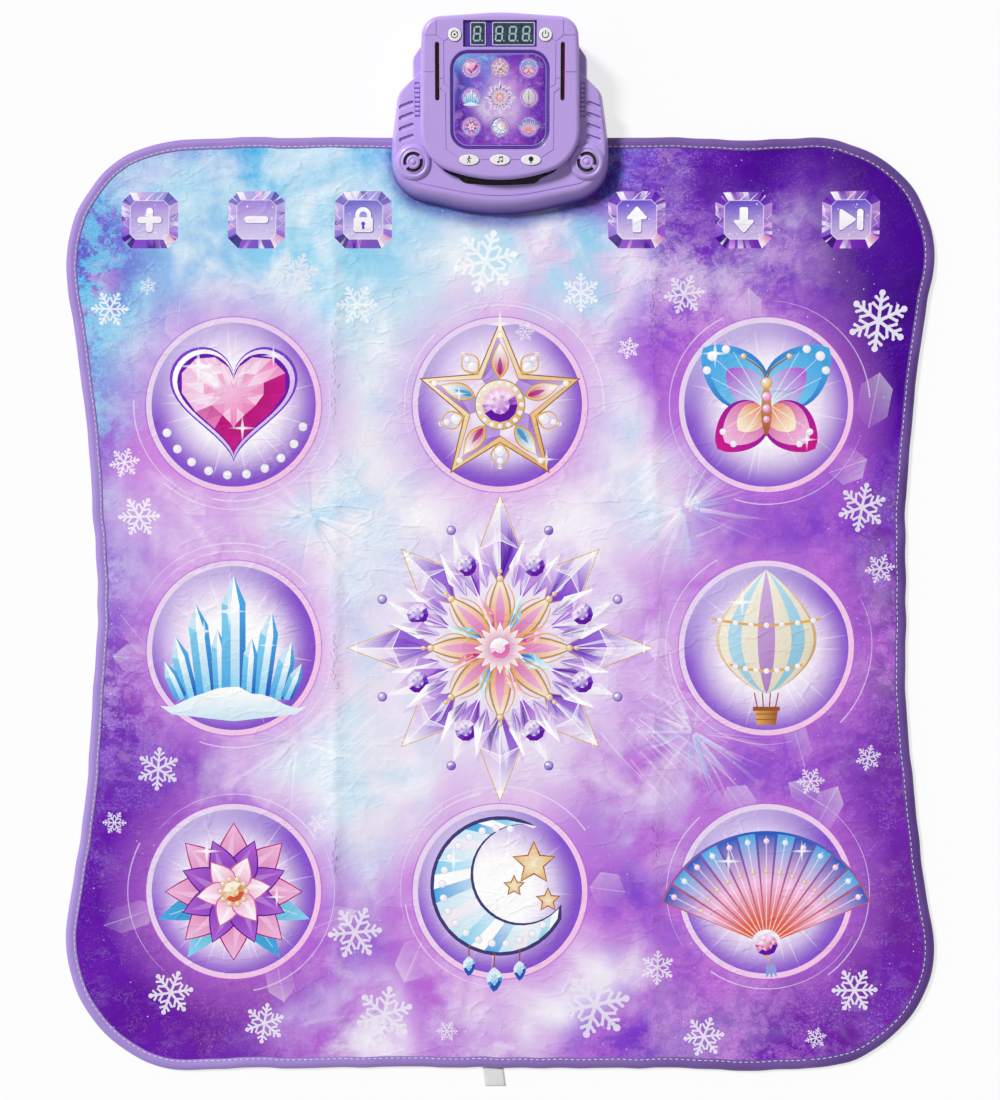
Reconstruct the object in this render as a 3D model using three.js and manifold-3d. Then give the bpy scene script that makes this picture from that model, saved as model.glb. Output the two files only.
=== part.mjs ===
// Electronic dance mat: a soft floor mat of printed sheet, circuit film and foam, with nine
// step pads, six touch pads, and a battery-powered console fixed over its rear edge.
// Millimetres, +Z up. +Y runs from the player toward the console.
// The origin is the centre of the mat, on the floor.

import * as THREE from 'three';
import { mergeVertices } from 'three/addons/utils/BufferGeometryUtils.js';
import Module from 'manifold-3d';

const wasm = await Module();
wasm.setup();

// Clearances
const fit = 0.3;
const overrun = 6;

// Mat outline
const matWidth = 840;
const matLength = 900;
const matWaistInset = 29;
const matCornerRadius = 120;

// Mat layers, from the floor up
const backingThickness = 1.0;
const foamThickness = 3.0;
const filmThickness = 0.3;
const spacerThickness = 1.5;
const coverThickness = 0.8;
const filmMargin = 14;
const spacerHoleGrowth = 4;

// Edge binding
const bindingWidth = 11;
const bindingWall = 0.8;

// Step pads: the places of their columns and rows are shares of the mat's width and length
const stepPadDiameter = 160;
const stepPadColumnShares = [-0.306, 0, 0.306];
const stepPadRowShares = [-0.3094, -0.0483, 0.2128];
const padRise = 1.2;

// Touch pads: a row between the console and the mat's side
const touchPadSize = 55.5;
const touchPadCornerCut = 12.5;
const touchPadConsoleGap = 27.2;
const touchPadSideMargin = 81.6;
const touchPadRearMargin = 80;

// Care label
const labelWidth = 20;
const labelLength = 18;
const labelThickness = 0.4;
const labelX = -6.8;
const labelHeight = 0.4;

// Console, seen from above
const consoleWidth = 209.6;
const consoleOverlap = 75.7;
const consoleOverhang = 102.5;
const consoleCornerRadius = 38;
const consoleWall = 2.5;

// Console deck: the sloping top face of the base shell
const deckTilt = THREE.MathUtils.degToRad(10);
const deckSetback = 12.3;
const deckFrontZ = 26;
const shoulderStep = 4;

// Console heights
const consoleFloorGap = 1.6;
const coverPlateThickness = 2;
const frontPlateZ = 8.0;
const bottomCoverInset = 1.2;
const bossRadius = 3.8;
const postReach = 78;
const caseScrewRadius = 1.3;
const caseScrewHeadRadius = 2.7;
const caseScrewHeadHeight = 1.2;
const caseScrewLength = 14;
const caseScrewSideMargin = 40.8;
const caseScrewFrontMargin = 29.7;
const caseScrewRearSideMargin = 29.8;
const caseScrewRearMargin = 46.5;

// Head: the raised cover on the deck
const wingWidth = 29;
const headFront = 17;
const headCornerRadius = 40;
const headHeight = 13;
const headWall = 2.4;
const headRim = 5;
const headTongueDepth = 4;
const headTongueWall = 2;

// Display, its width left between the round buttons; digits as shares of that width
const displayHeight = 24;
const displayRearMargin = 18.6;
const bezelThickness = 1.8;
const bezelLip = 4;
const digitHeight = 19;
const singleDigitWidthShare = 0.1837;
const tripleDigitWidthShare = 0.5496;
const singleDigitPlaceShare = -0.2988;
const tripleDigitPlaceShare = 0.1837;
const digitFaceDepth = 1.8;

// Picture panel
const panelSideMargin = 29.3;
const panelFrontMargin = 28;
const panelRearMargin = 33.5;
const panelCorner = 17;
const panelThickness = 1.3;
const panelRecess = 1.6;
const panelGroove = 1.0;

// Side light slots
const slotWidth = 4;
const slotLength = 53;
const slotSideMargin = 17.1;
const slotRearMargin = 52.6;
const lightGuideWidth = 8;
const lightGuideLength = 60;
const lightGuideThickness = 2.7;

// Front light slot, under the head's lip
const frontSlotSideMargin = 25.3;
const frontSlotSlant = 12.5;
const frontSlotStart = 9;
const frontSlotDepth = 12.5;
const frontGuideStart = 9.4;
const frontGuideDepth = 12.6;
const frontGuideSideGap = 0.5;

// Buttons, placed across the head by shares of its width
const buttonTravel = 1.0;
const buttonRise = 1.3;
const buttonFlange = 0.8;
const buttonFlangeThickness = 1.6;
const roundButtonDiameter = 12.6;
const roundButtonPlaceShare = 0.279;
const roundButtonGap = 8;
const roundButtonSetback = 1;
const ovalButtonLength = 19.2;
const ovalButtonWidth = 10.2;
const ovalButtonSpacingShare = 0.1926;
const ovalButtonSetback = 18.2;

// Main board and keypad membrane
const boardSideMargin = 23.8;
const boardFrontMargin = 13.5;
const boardRearMargin = 9;
const boardThickness = 1.6;
const boardBottom = 3.4;
const boardCorner = 4;
const chipSize = 16;
const chipHeight = 1.6;
const switchSize = 6;
const boardPostRadius = 2.4;
const boardPostMargin = 3;
const boardPostShares = [0.17, 0.74];
const membraneSideMargin = 2.2;
const membraneMargin = 1.4;
const membraneThickness = 1.0;
const domeRadius = 3.4;

// Speaker bosses and speakers
const speakerSideMargin = 22.4;
const speakerCentre = 33.9;
const bossOuterRadius = 15.3;
const bossHeight = 4.6;
const bossFoot = 2.4;
const grilleOuterRadius = 9.6;
const grilleInnerRadius = 6.3;
const grilleGap = 0.42;
const grilleTurn = 0.56;
const speakerRadius = 12;
const speakerMagnetRadius = 8;
const speakerConeDepth = 4;
const speakerMagnetDepth = 4;

// Wing vents
const ventCount = 4;
const ventSpacing = 10.2;
const ventLength = 15;
const ventWidth = 2.8;
const ventSideMargin = 17.4;
const ventFirst = 56.2;
const ventTurn = THREE.MathUtils.degToRad(23);

// Batteries
const batteryCount = 3;
const batteryRadius = 7.1;
const batteryLength = 49.2;
const batteryNubRadius = 2.7;
const batteryNubHeight = 1.1;
const batteryPitch = 14.9;
const batteryBoxWall = 1.6;
const batterySetback = 44;
const contactThickness = 0.5;
const contactHeight = 12;
const contactGap = 0.9;
const doorLedge = 1.2;
const doorTab = 9;
const doorScrewRadius = 1.2;
const doorScrewHeadRadius = 2.4;
const doorScrewHeadHeight = 0.9;
const doorScrewLength = 10;

// Film tail and connector
const tailWidth = 26;
const tailReach = 7;
const connectorWidth = 32;
const connectorDepth = 8;
const connectorHeight = 5;

// Clamp plate under the mat's rear edge
const clampPlateWidth = 150;
const clampPlateDepth = 18;
const clampPlateThickness = 1.0;
const clampSetback = 34;
const clampSpacing = 92;
const clampScrewRadius = 1.5;
const clampScrewHeadRadius = 3.5;
const clampScrewTop = 17;
const clampBossRadius = 4.5;

// Feet
const footRadius = 6;
const footSideMargin = 46.8;
const footRearMargin = 14.5;

// How finely round shapes are cut
const padSides = 24;
const spacerHoleSides = 12;
const grilleSides = 16;
const matCornerSteps = 8;
const matSideSteps = 6;
const loopSteps = 4;
const smallSides = 12;
const holeSides = 8;

// Sizes and places worked out from those above
const foamZ = backingThickness;
const lowerFilmZ = foamZ + foamThickness;
const spacerZ = lowerFilmZ + filmThickness;
const upperFilmZ = spacerZ + spacerThickness;
const coverZ = upperFilmZ + filmThickness;
const matTopZ = coverZ + coverThickness;
const bindingTopZ = matTopZ + bindingWall;
const skirtZ = matTopZ + fit;
const matRearY = matLength / 2;
const consoleFrontY = matRearY - consoleOverlap;
const consoleRearY = matRearY + consoleOverhang;
const consoleDepth = consoleRearY - consoleFrontY;
const deckFrontY = consoleFrontY + deckSetback;
const floorPlateTopZ = consoleFloorGap + coverPlateThickness;
const stepWallY = matRearY + fit * 2;
const headWidth = consoleWidth - wingWidth * 2;
const headLength = (consoleRearY - deckFrontY) / Math.cos(deckTilt) - headFront;
const headRear = headFront + headLength;
const ceiling = headHeight - headWall;
const displayCentre = headRear - displayRearMargin;
const panelWidth = headWidth - panelSideMargin * 2;
const panelLength = headLength - panelFrontMargin - panelRearMargin;
const panelCentre = headFront + panelFrontMargin + panelLength / 2;
const slotX = headWidth / 2 - slotSideMargin;
const slotCentre = headRear - slotRearMargin;
const frontSlotWidth = headWidth - frontSlotSideMargin * 2;
const frontGuideWidth = frontSlotWidth - frontGuideSideGap * 2;
const roundButtonX = headWidth * roundButtonPlaceShare;
const roundButtonCentre = displayCentre - roundButtonSetback;
const displayWidth = (roundButtonX - roundButtonGap) * 2;
const singleDigitWidth = displayWidth * singleDigitWidthShare;
const tripleDigitWidth = displayWidth * tripleDigitWidthShare;
const singleDigitX = displayWidth * singleDigitPlaceShare;
const tripleDigitX = displayWidth * tripleDigitPlaceShare;
const ovalButtonSpacing = headWidth * ovalButtonSpacingShare;
const ovalButtonCentre = headFront + ovalButtonSetback;
const boardWidth = headWidth - boardSideMargin * 2;
const boardLength = headLength - boardFrontMargin - boardRearMargin;
const boardFront = headFront + boardFrontMargin;
const membraneWidth = ovalButtonSpacing * 2 + ovalButtonLength + membraneSideMargin * 2;
const membraneLength = ovalButtonWidth + membraneMargin * 2;
const speakerX = consoleWidth / 2 - speakerSideMargin;
const ventX = consoleWidth / 2 - ventSideMargin;
const batteryCentreY = matRearY + batterySetback;
const clampY = matRearY - clampSetback;
const boardTop = boardBottom + boardThickness;
const buttonBottom = ceiling - fit - buttonFlangeThickness;
const switchTop = buttonBottom - buttonTravel - fit;

// Outlines

function arc(centreX, centreY, radius, from, to, steps, trimEnds = false) {
  const points = [];
  const first = trimEnds ? 1 : 0;
  const last = trimEnds ? steps - 1 : steps;
  for (let step = first; step <= last; step++) {
    const angle = from + (to - from) * step / steps;
    points.push(new THREE.Vector2(
      centreX + radius * Math.cos(angle),
      centreY + radius * Math.sin(angle),
    ));
  }
  return points;
}

function circle(centreX, centreY, radius, sides) {
  return arc(centreX, centreY, radius, 0, Math.PI * 2, sides).slice(0, sides);
}

function rectangle(centreX, centreY, width, depth) {
  const halfWidth = width / 2;
  const halfDepth = depth / 2;
  return [[-1, -1], [1, -1], [1, 1], [-1, 1]].map(([signX, signY]) =>
    new THREE.Vector2(centreX + signX * halfWidth, centreY + signY * halfDepth));
}

function cutRectangle(centreX, centreY, width, depth, cut) {
  const halfWidth = width / 2;
  const halfDepth = depth / 2;
  return [
    [-halfWidth + cut, -halfDepth], [halfWidth - cut, -halfDepth],
    [halfWidth, -halfDepth + cut], [halfWidth, halfDepth - cut],
    [halfWidth - cut, halfDepth], [-halfWidth + cut, halfDepth],
    [-halfWidth, halfDepth - cut], [-halfWidth, -halfDepth + cut],
  ].map(([x, y]) => new THREE.Vector2(centreX + x, centreY + y));
}

function roundedRectangle(centreX, centreY, width, depth, radius, steps) {
  const shiftX = width / 2 - radius;
  const shiftY = depth / 2 - radius;
  const quarter = Math.PI / 2;
  return [
    ...arc(centreX + shiftX, centreY - shiftY, radius, -quarter, 0, steps),
    ...arc(centreX + shiftX, centreY + shiftY, radius, 0, quarter, steps),
    ...arc(centreX - shiftX, centreY + shiftY, radius, quarter, Math.PI, steps),
    ...arc(centreX - shiftX, centreY - shiftY, radius, Math.PI, quarter * 3, steps),
  ];
}

// The mat's outline: a straight front and rear, four round corners, and sides that bow inward.
// Each side arc touches its two corner arcs, so an inset outline is an exact parallel.
function matOutline(inset) {
  const cornerX = matWidth / 2 - matCornerRadius;
  const cornerY = matLength / 2 - matCornerRadius;
  const waist = matCornerRadius - matWaistInset;
  const sideRadius = (waist ** 2 + cornerY ** 2 - matCornerRadius ** 2)
    / (2 * (matCornerRadius - waist));
  const sideX = cornerX + waist + sideRadius;
  const meet = Math.atan2(cornerY, waist + sideRadius);
  const radius = matCornerRadius - inset;
  const quarter = Math.PI / 2;
  const side = (centreX, from, to) =>
    arc(centreX, 0, sideRadius + inset, from, to, matSideSteps, true);
  return [
    ...arc(cornerX, -cornerY, radius, -quarter, meet, matCornerSteps),
    ...side(sideX, Math.PI + meet, Math.PI - meet),
    ...arc(cornerX, cornerY, radius, -meet, quarter, matCornerSteps),
    ...arc(-cornerX, cornerY, radius, quarter, Math.PI + meet, matCornerSteps),
    ...side(-sideX, meet, -meet),
    ...arc(-cornerX, -cornerY, radius, Math.PI - meet, quarter * 3, matCornerSteps),
  ];
}

// Completes corners given from the front centre round the right side to the rear centre.
function mirrored(rightCorners) {
  const leftCorners = rightCorners
    .filter((corner) => corner.x > 0)
    .reverse()
    .map((corner) => ({ ...corner, x: -corner.x }));
  return [...rightCorners, ...leftCorners];
}

// Moves every side of a loop of corners inward, then rounds each corner as far as its two
// sides have room for.
function roundedLoop(corners, inset, steps = loopSteps) {
  const count = corners.length;
  const leastRadius = fit;
  const moved = corners.map((corner, index) => {
    const here = new THREE.Vector2(corner.x, corner.y);
    const before = corners[(index + count - 1) % count];
    const after = corners[(index + 1) % count];
    const into = here.clone().sub(new THREE.Vector2(before.x, before.y)).normalize();
    const out = new THREE.Vector2(after.x, after.y).sub(here).normalize();
    const intoNormal = new THREE.Vector2(-into.y, into.x);
    const outNormal = new THREE.Vector2(-out.y, out.x);
    const turn = Math.atan2(into.cross(out), into.dot(out));
    const shift = intoNormal.clone().add(outNormal);
    here.addScaledVector(shift, inset / (1 + intoNormal.dot(outNormal)));
    const radius = Math.max(corner.radius - inset * Math.sign(turn), leastRadius);
    const reach = radius * Math.tan(Math.abs(turn) / 2);
    return { spot: here, into, intoNormal, turn, radius, reach };
  });
  return moved.flatMap(({ spot, into, intoNormal, turn, radius, reach }, index) => {
    const neighbours = [moved[(index + count - 1) % count], moved[(index + 1) % count]];
    const room = neighbours.map((other) => spot.distanceTo(other.spot) / (reach + other.reach));
    const share = Math.min(1, ...room);
    const bend = radius * share;
    const start = spot.clone().addScaledVector(into, -reach * share);
    const centre = start.addScaledVector(intoNormal, bend * Math.sign(turn));
    const from = Math.atan2(-intoNormal.y * turn, -intoNormal.x * turn);
    return arc(centre.x, centre.y, bend, from, from + turn, steps);
  });
}

// Console corners, front centre to rear centre, as shares of half the width, of the depth
// and of the corner radius.
const footShares = [
  [0, -0.031, 5.2], [1, 0.112, 1], [1, 0.369, 2.1], [0.94, 0.627, 0.37],
  [0.706, 0.745, 0.1], [0.69, 1, 0.42],
];
const deckShares = [
  [0, 0.047, 5.2], [0.94, 0.155, 0.84], [0.94, 0.369, 2.1], [0.887, 0.616, 0.32],
  [0.69, 0.725, 0.1], [0.673, 0.99, 0.37],
];
const shoulderFootShares = [
  [0.8, 0.593, 0.1], [0.8, 0.806, 0.21], [0.7, 0.879, 0.1], [0.69, 1, 0.42],
];
const shoulderTopShares = [
  [0.77, 0.6, 0.1], [0.77, 0.795, 0.18], [0.68, 0.868, 0.1], [0.673, 0.99, 0.37],
];
const headShares = [
  [0, -0.043, 3.6], [1, 0.112, 1], [0.975, 0.79, 2], [0.955, 0.976, 0.45], [0, 1.008, 5],
];

function consoleCorners(shares) {
  return mirrored(shares.map(([widthShare, depthShare, radiusShare]) => ({
    x: widthShare * consoleWidth / 2,
    y: consoleFrontY + depthShare * consoleDepth,
    radius: radiusShare * consoleCornerRadius,
  })));
}

const headCorners = mirrored(headShares.map(([widthShare, lengthShare, radiusShare]) => ({
  x: widthShare * headWidth / 2,
  y: headFront + lengthShare * headLength,
  radius: radiusShare * headCornerRadius,
})));

// Solids

function prism(outline, low, high, holes = []) {
  const shape = new THREE.Shape(outline);
  shape.holes = holes.map((hole) => new THREE.Path(hole));
  const geometry = new THREE.ExtrudeGeometry(shape, { depth: high - low, bevelEnabled: false });
  return geometry.translate(0, 0, low);
}

function closedMesh(points, triangles) {
  const geometry = new THREE.BufferGeometry();
  const numbers = points.flatMap((point) => [point.x, point.y, point.z]);
  geometry.setAttribute('position', new THREE.Float32BufferAttribute(numbers, 3));
  geometry.setIndex(triangles);
  geometry.computeVertexNormals();
  return geometry;
}

function walls(ringCount, size, closed) {
  const triangles = [];
  const bands = closed ? ringCount : ringCount - 1;
  for (let ring = 0; ring < bands; ring++) {
    for (let index = 0; index < size; index++) {
      const next = (index + 1) % size;
      const above = ((ring + 1) % ringCount) * size;
      const here = ring * size;
      triangles.push(here + index, here + next, above + next);
      triangles.push(here + index, above + next, above + index);
    }
  }
  return triangles;
}

// A body through rings of equally many points, closed by a flat face at each end.
function loft(rings) {
  const size = rings[0].length;
  const flat = (ring) => ring.map((point) => new THREE.Vector2(point.x, point.y));
  const bottom = THREE.ShapeUtils.triangulateShape(flat(rings[0]), []);
  const top = THREE.ShapeUtils.triangulateShape(flat(rings.at(-1)), []);
  const topStart = (rings.length - 1) * size;
  return closedMesh(rings.flat(), [
    ...bottom.flatMap(([a, b, c]) => [a, c, b]),
    ...walls(rings.length, size, false),
    ...top.flatMap(([a, b, c]) => [topStart + a, topStart + b, topStart + c]),
  ]);
}

// A closed ring that carries a profile of inset and height pairs along an outline.
function ringAlong(outlineAt, profile) {
  const rings = profile.map(([inset, height]) =>
    outlineAt(inset).map((point) => new THREE.Vector3(point.x, point.y, height)));
  return closedMesh(rings.flat(), walls(rings.length, rings[0].length, true));
}

function solid(geometry) {
  const bare = geometry.clone();
  bare.deleteAttribute('normal');
  bare.deleteAttribute('uv');
  const merged = mergeVertices(bare);
  return new wasm.Manifold(new wasm.Mesh({
    numProp: 3,
    vertProperties: Float32Array.from(merged.attributes.position.array),
    triVerts: Uint32Array.from(merged.index.array),
  }));
}

function geometryOf(body) {
  const mesh = body.getMesh();
  const geometry = new THREE.BufferGeometry();
  const positions = Float32Array.from(mesh.vertProperties);
  geometry.setAttribute('position', new THREE.BufferAttribute(positions, 3));
  geometry.setIndex(new THREE.BufferAttribute(Uint32Array.from(mesh.triVerts), 1));
  geometry.computeVertexNormals();
  return geometry;
}

function cut(geometry, cutters) {
  let body = solid(geometry);
  for (const cutter of cutters) body = body.subtract(solid(cutter));
  return geometryOf(body);
}

function box(minX, maxX, minY, maxY, minZ, maxZ) {
  return new THREE.BoxGeometry(maxX - minX, maxY - minY, maxZ - minZ)
    .translate((minX + maxX) / 2, (minY + maxY) / 2, (minZ + maxZ) / 2);
}

function disc(centreX, centreY, radius, low, high, sides = smallSides) {
  return prism(circle(centreX, centreY, radius, sides), low, high);
}

// A screw along +Z: its head, then its shank.
function screw(headRadius, headHeight, shankRadius, length) {
  return new THREE.LatheGeometry([
    new THREE.Vector2(0, 0),
    new THREE.Vector2(headRadius, 0),
    new THREE.Vector2(headRadius, headHeight),
    new THREE.Vector2(shankRadius, headHeight),
    new THREE.Vector2(shankRadius, length),
    new THREE.Vector2(0, length),
  ], smallSides).rotateX(Math.PI / 2);
}

// The object

const danceMat = new THREE.Group();
const deck = new THREE.Group();
deck.position.set(0, deckFrontY, deckFrontZ);
deck.rotation.x = deckTilt;
danceMat.add(deck);
deck.updateMatrixWorld(true);

// The height of a plane parallel to the deck, at a place seen from above.
function deckHeight(y, offset = 0) {
  return deckFrontZ + (y - deckFrontY) * Math.tan(deckTilt) + offset / Math.cos(deckTilt);
}

function onDeck(geometry) {
  return geometry.clone().applyMatrix4(deck.matrixWorld);
}

const coverPrint = { color: 0xd9c4ea, roughness: 0.55, metalness: 0 };
const padPrint = { color: 0xeadcf5, roughness: 0.5, metalness: 0 };
const bindingTape = { color: 0x906dbc, roughness: 0.85, metalness: 0 };
const backingFabric = { color: 0x3c3f4a, roughness: 0.95, metalness: 0 };
const foam = { color: 0xf0efec, roughness: 0.95, metalness: 0 };
const clearFilm = { color: 0xbfc6cc, roughness: 0.35, metalness: 0 };
const labelFabric = { color: 0xf2f2f4, roughness: 0.8, metalness: 0 };
const lilacPlastic = { color: 0xc6b2ea, roughness: 0.42, metalness: 0 };
const violetPlastic = { color: 0x4b2a96, roughness: 0.35, metalness: 0 };
const whitePlastic = { color: 0xe9e8ea, roughness: 0.35, metalness: 0 };
const panelPrint = { color: 0x8d6fd0, roughness: 0.25, metalness: 0 };
const darkGlass = { color: 0x22303a, roughness: 0.2, metalness: 0 };
const redPlastic = { color: 0x6a0f1c, roughness: 0.3, metalness: 0 };
const boardGreen = { color: 0x1f6a45, roughness: 0.5, metalness: 0 };
const greyRubber = { color: 0x8b8f96, roughness: 0.8, metalness: 0 };
const blackPlastic = { color: 0x1c1c20, roughness: 0.6, metalness: 0 };
const steel = { color: 0xb9bcc2, roughness: 0.3, metalness: 1 };
const batterySleeve = { color: 0x2d5f9a, roughness: 0.35, metalness: 0.2 };

function place(name, geometry, finish, parent = danceMat) {
  const mesh = new THREE.Mesh(geometry, new THREE.MeshStandardMaterial(finish));
  mesh.name = name;
  parent.add(mesh);
  return mesh;
}

// Pad places

const stepPadNames = [
  ['bottom_left', 'bottom', 'bottom_right'],
  ['left', 'centre', 'right'],
  ['top_left', 'top', 'top_right'],
];
const stepPads = stepPadNames.flatMap((row, rowIndex) => row.map((name, column) => ({
  name: `step_pad_${name}`,
  x: stepPadColumnShares[column] * matWidth,
  y: stepPadRowShares[rowIndex] * matLength,
})));

const touchPadInnerX = consoleWidth / 2 + touchPadConsoleGap;
const touchPadOuterX = matWidth / 2 - touchPadSideMargin;
const touchPadPlaces = [['plus', -1, 1], ['minus', -1, 0.5], ['lock', -1, 0],
  ['up', 1, 0], ['down', 1, 0.5], ['play', 1, 1]];
const touchPads = touchPadPlaces.map(([name, side, outwardShare]) => ({
  name: `touch_pad_${name}`,
  x: side * THREE.MathUtils.lerp(touchPadInnerX, touchPadOuterX, outwardShare),
  y: matRearY - touchPadRearMargin,
}));

const clampSpots = [-1, 1].map((side) => ({ x: side * clampSpacing / 2, y: clampY }));

function stepPadOutline(pad, growth) {
  return circle(pad.x, pad.y, stepPadDiameter / 2 + growth, padSides);
}

function touchPadOutline(pad, growth) {
  const size = touchPadSize + growth * 2;
  return cutRectangle(pad.x, pad.y, size, size, touchPadCornerCut);
}

function clampHoles() {
  return clampSpots.map((spot) => circle(spot.x, spot.y, clampScrewRadius + fit, holeSides));
}

function coverHoles() {
  return [
    ...stepPads.map((pad) => stepPadOutline(pad, fit)),
    ...touchPads.map((pad) => touchPadOutline(pad, fit)),
    ...clampHoles(),
  ];
}

function spacerHoles() {
  const stepHoleRadius = stepPadDiameter / 2 + spacerHoleGrowth;
  return [
    ...stepPads.map((pad) => circle(pad.x, pad.y, stepHoleRadius, spacerHoleSides)),
    ...touchPads.map((pad) => touchPadOutline(pad, spacerHoleGrowth)),
    ...clampHoles(),
  ];
}

// Mat layers

function nonslipBacking() {
  const headHoles = clampSpots.map((spot) =>
    circle(spot.x, spot.y, clampScrewHeadRadius + fit, holeSides));
  return prism(matOutline(bindingWidth + fit), 0, backingThickness, headHoles);
}

function cushionFoam() {
  const sheet = prism(matOutline(bindingWall + fit), foamZ, lowerFilmZ, clampHoles());
  const pocketTop = foamZ + clampPlateThickness + fit;
  const pocketWidth = clampPlateWidth + fit * 2;
  const pocketDepth = clampPlateDepth + fit * 2;
  const pocket = prism(rectangle(0, clampY, pocketWidth, pocketDepth), foamZ - overrun, pocketTop);
  return cut(sheet, [pocket]);
}

function lowerCircuitFilm() {
  const sheet = prism(matOutline(filmMargin), lowerFilmZ, spacerZ, clampHoles());
  const tail = box(-tailWidth / 2, tailWidth / 2, matRearY - filmMargin - overrun,
    matRearY + tailReach, lowerFilmZ, spacerZ);
  return geometryOf(solid(sheet).add(solid(tail)));
}

function edgeBinding() {
  const ring = ringAlong(matOutline, [
    [0, 0], [0, bindingTopZ], [bindingWidth, bindingTopZ], [bindingWidth, matTopZ],
    [bindingWall, matTopZ], [bindingWall, foamZ], [bindingWidth, foamZ], [bindingWidth, 0],
  ]);
  const tailExit = box(-tailWidth / 2 - fit, tailWidth / 2 + fit,
    matRearY - overrun, matRearY + overrun, lowerFilmZ - fit, spacerZ + fit);
  return cut(ring, [tailExit]);
}

place('nonslip_backing', nonslipBacking(), backingFabric);
place('cushion_foam', cushionFoam(), foam);
place('lower_circuit_film', lowerCircuitFilm(), clearFilm);
place('spacer_foam', prism(matOutline(bindingWall + fit), spacerZ, upperFilmZ, spacerHoles()), foam);
place('upper_circuit_film', prism(matOutline(filmMargin), upperFilmZ, coverZ, spacerHoles()), clearFilm);
place('top_cover', prism(matOutline(bindingWall + fit), coverZ, matTopZ, coverHoles()), coverPrint);
place('edge_binding', edgeBinding(), bindingTape);

for (const pad of stepPads) {
  const geometry = prism(stepPadOutline(pad, 0), upperFilmZ, matTopZ + padRise);
  place(pad.name, geometry, padPrint);
}
for (const pad of touchPads) {
  const geometry = prism(touchPadOutline(pad, 0), upperFilmZ, matTopZ + padRise);
  place(pad.name, geometry, padPrint);
}

place('care_label', box(labelX - labelWidth / 2, labelX + labelWidth / 2,
  -matRearY - fit - labelLength, -matRearY - fit,
  labelHeight, labelHeight + labelThickness), labelFabric);

// Clamp plate and its screws

place('mat_clamp_plate', prism(
  rectangle(0, clampY, clampPlateWidth, clampPlateDepth),
  foamZ, foamZ + clampPlateThickness, clampHoles()), steel);
['left', 'right'].forEach((side, index) => {
  const geometry = screw(clampScrewHeadRadius, foamZ - fit, clampScrewRadius, clampScrewTop);
  const mesh = place(`clamp_screw_${side}`, geometry, steel);
  mesh.position.set(clampSpots[index].x, clampSpots[index].y, 0);
});

// Base shell

const caseScrewSpots = [['left', -1], ['right', 1]].flatMap(([name, side]) => [
  {
    name: `front_${name}`,
    x: side * (consoleWidth / 2 - caseScrewSideMargin),
    y: consoleFrontY + caseScrewFrontMargin,
    z: frontPlateZ,
  },
  {
    name: `rear_${name}`,
    x: side * (consoleWidth / 2 - caseScrewRearSideMargin),
    y: consoleRearY - caseScrewRearMargin,
    z: consoleFloorGap,
  },
]);

// A body from the foot outline up to a plane parallel to the deck, its flank swelling outward.
// It goes straight down below the foot by the given length.
function flankedBody(lowShares, highShares, inset, topOffset, below = 0) {
  const foot = roundedLoop(consoleCorners(lowShares), inset);
  const top = roundedLoop(consoleCorners(highShares), inset);
  const flankAngles = [0, 30, 60, 90].map(THREE.MathUtils.degToRad);
  const rings = flankAngles.map((angle) => foot.map((low, index) => {
    const spot = low.clone().lerp(top[index], 1 - Math.cos(angle));
    const rise = deckHeight(spot.y, topOffset) - consoleFloorGap;
    return new THREE.Vector3(spot.x, spot.y, consoleFloorGap + rise * Math.sin(angle));
  }));
  if (below > 0) rings.unshift(foot.map((low) => new THREE.Vector3(low.x, low.y, -below)));
  return loft(rings);
}

function capsule(centreX, centreY, length, width, turn) {
  const straight = length / 2 - width / 2;
  const quarter = Math.PI / 2;
  const origin = new THREE.Vector2(0, 0);
  return [
    ...arc(straight, 0, width / 2, -quarter, quarter, loopSteps),
    ...arc(-straight, 0, width / 2, quarter, quarter * 3, loopSteps),
  ].map((point) => point.rotateAround(origin, turn).add(new THREE.Vector2(centreX, centreY)));
}

function ventCutters() {
  const cutters = [];
  for (const side of [-1, 1]) {
    for (let index = 0; index < ventCount; index++) {
      const outline = capsule(side * ventX, ventFirst + index * ventSpacing,
        ventLength, ventWidth, -side * ventTurn);
      cutters.push(prism(outline, -overrun, overrun));
    }
  }
  return cutters;
}

function grilleCutters(side) {
  return [0, 1].map((half) => {
    const from = half * Math.PI + grilleGap / 2 - side * grilleTurn;
    const to = from + Math.PI - grilleGap;
    const centre = side * speakerX;
    const outline = [
      ...arc(centre, speakerCentre, grilleOuterRadius, from, to, grilleSides / 2),
      ...arc(centre, speakerCentre, grilleInnerRadius, to, from, grilleSides / 2),
    ];
    return prism(outline, -overrun, bossHeight + overrun);
  });
}

function speakerBoss(side) {
  const topRadius = bossOuterRadius - consoleWall / 2;
  return new THREE.LatheGeometry([
    new THREE.Vector2(0, -bossFoot),
    new THREE.Vector2(bossOuterRadius, -bossFoot),
    new THREE.Vector2(bossOuterRadius, bossHeight / 2),
    new THREE.Vector2(topRadius, bossHeight),
    new THREE.Vector2(0, bossHeight),
  ], grilleSides).rotateX(Math.PI / 2).translate(side * speakerX, speakerCentre, 0);
}

const frontSlotOutline = [
  new THREE.Vector2(-frontSlotWidth / 2 + frontSlotSlant, frontSlotStart),
  new THREE.Vector2(frontSlotWidth / 2 - frontSlotSlant, frontSlotStart),
  new THREE.Vector2(frontSlotWidth / 2, frontSlotStart + frontSlotDepth),
  new THREE.Vector2(-frontSlotWidth / 2, frontSlotStart + frontSlotDepth),
];

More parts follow.
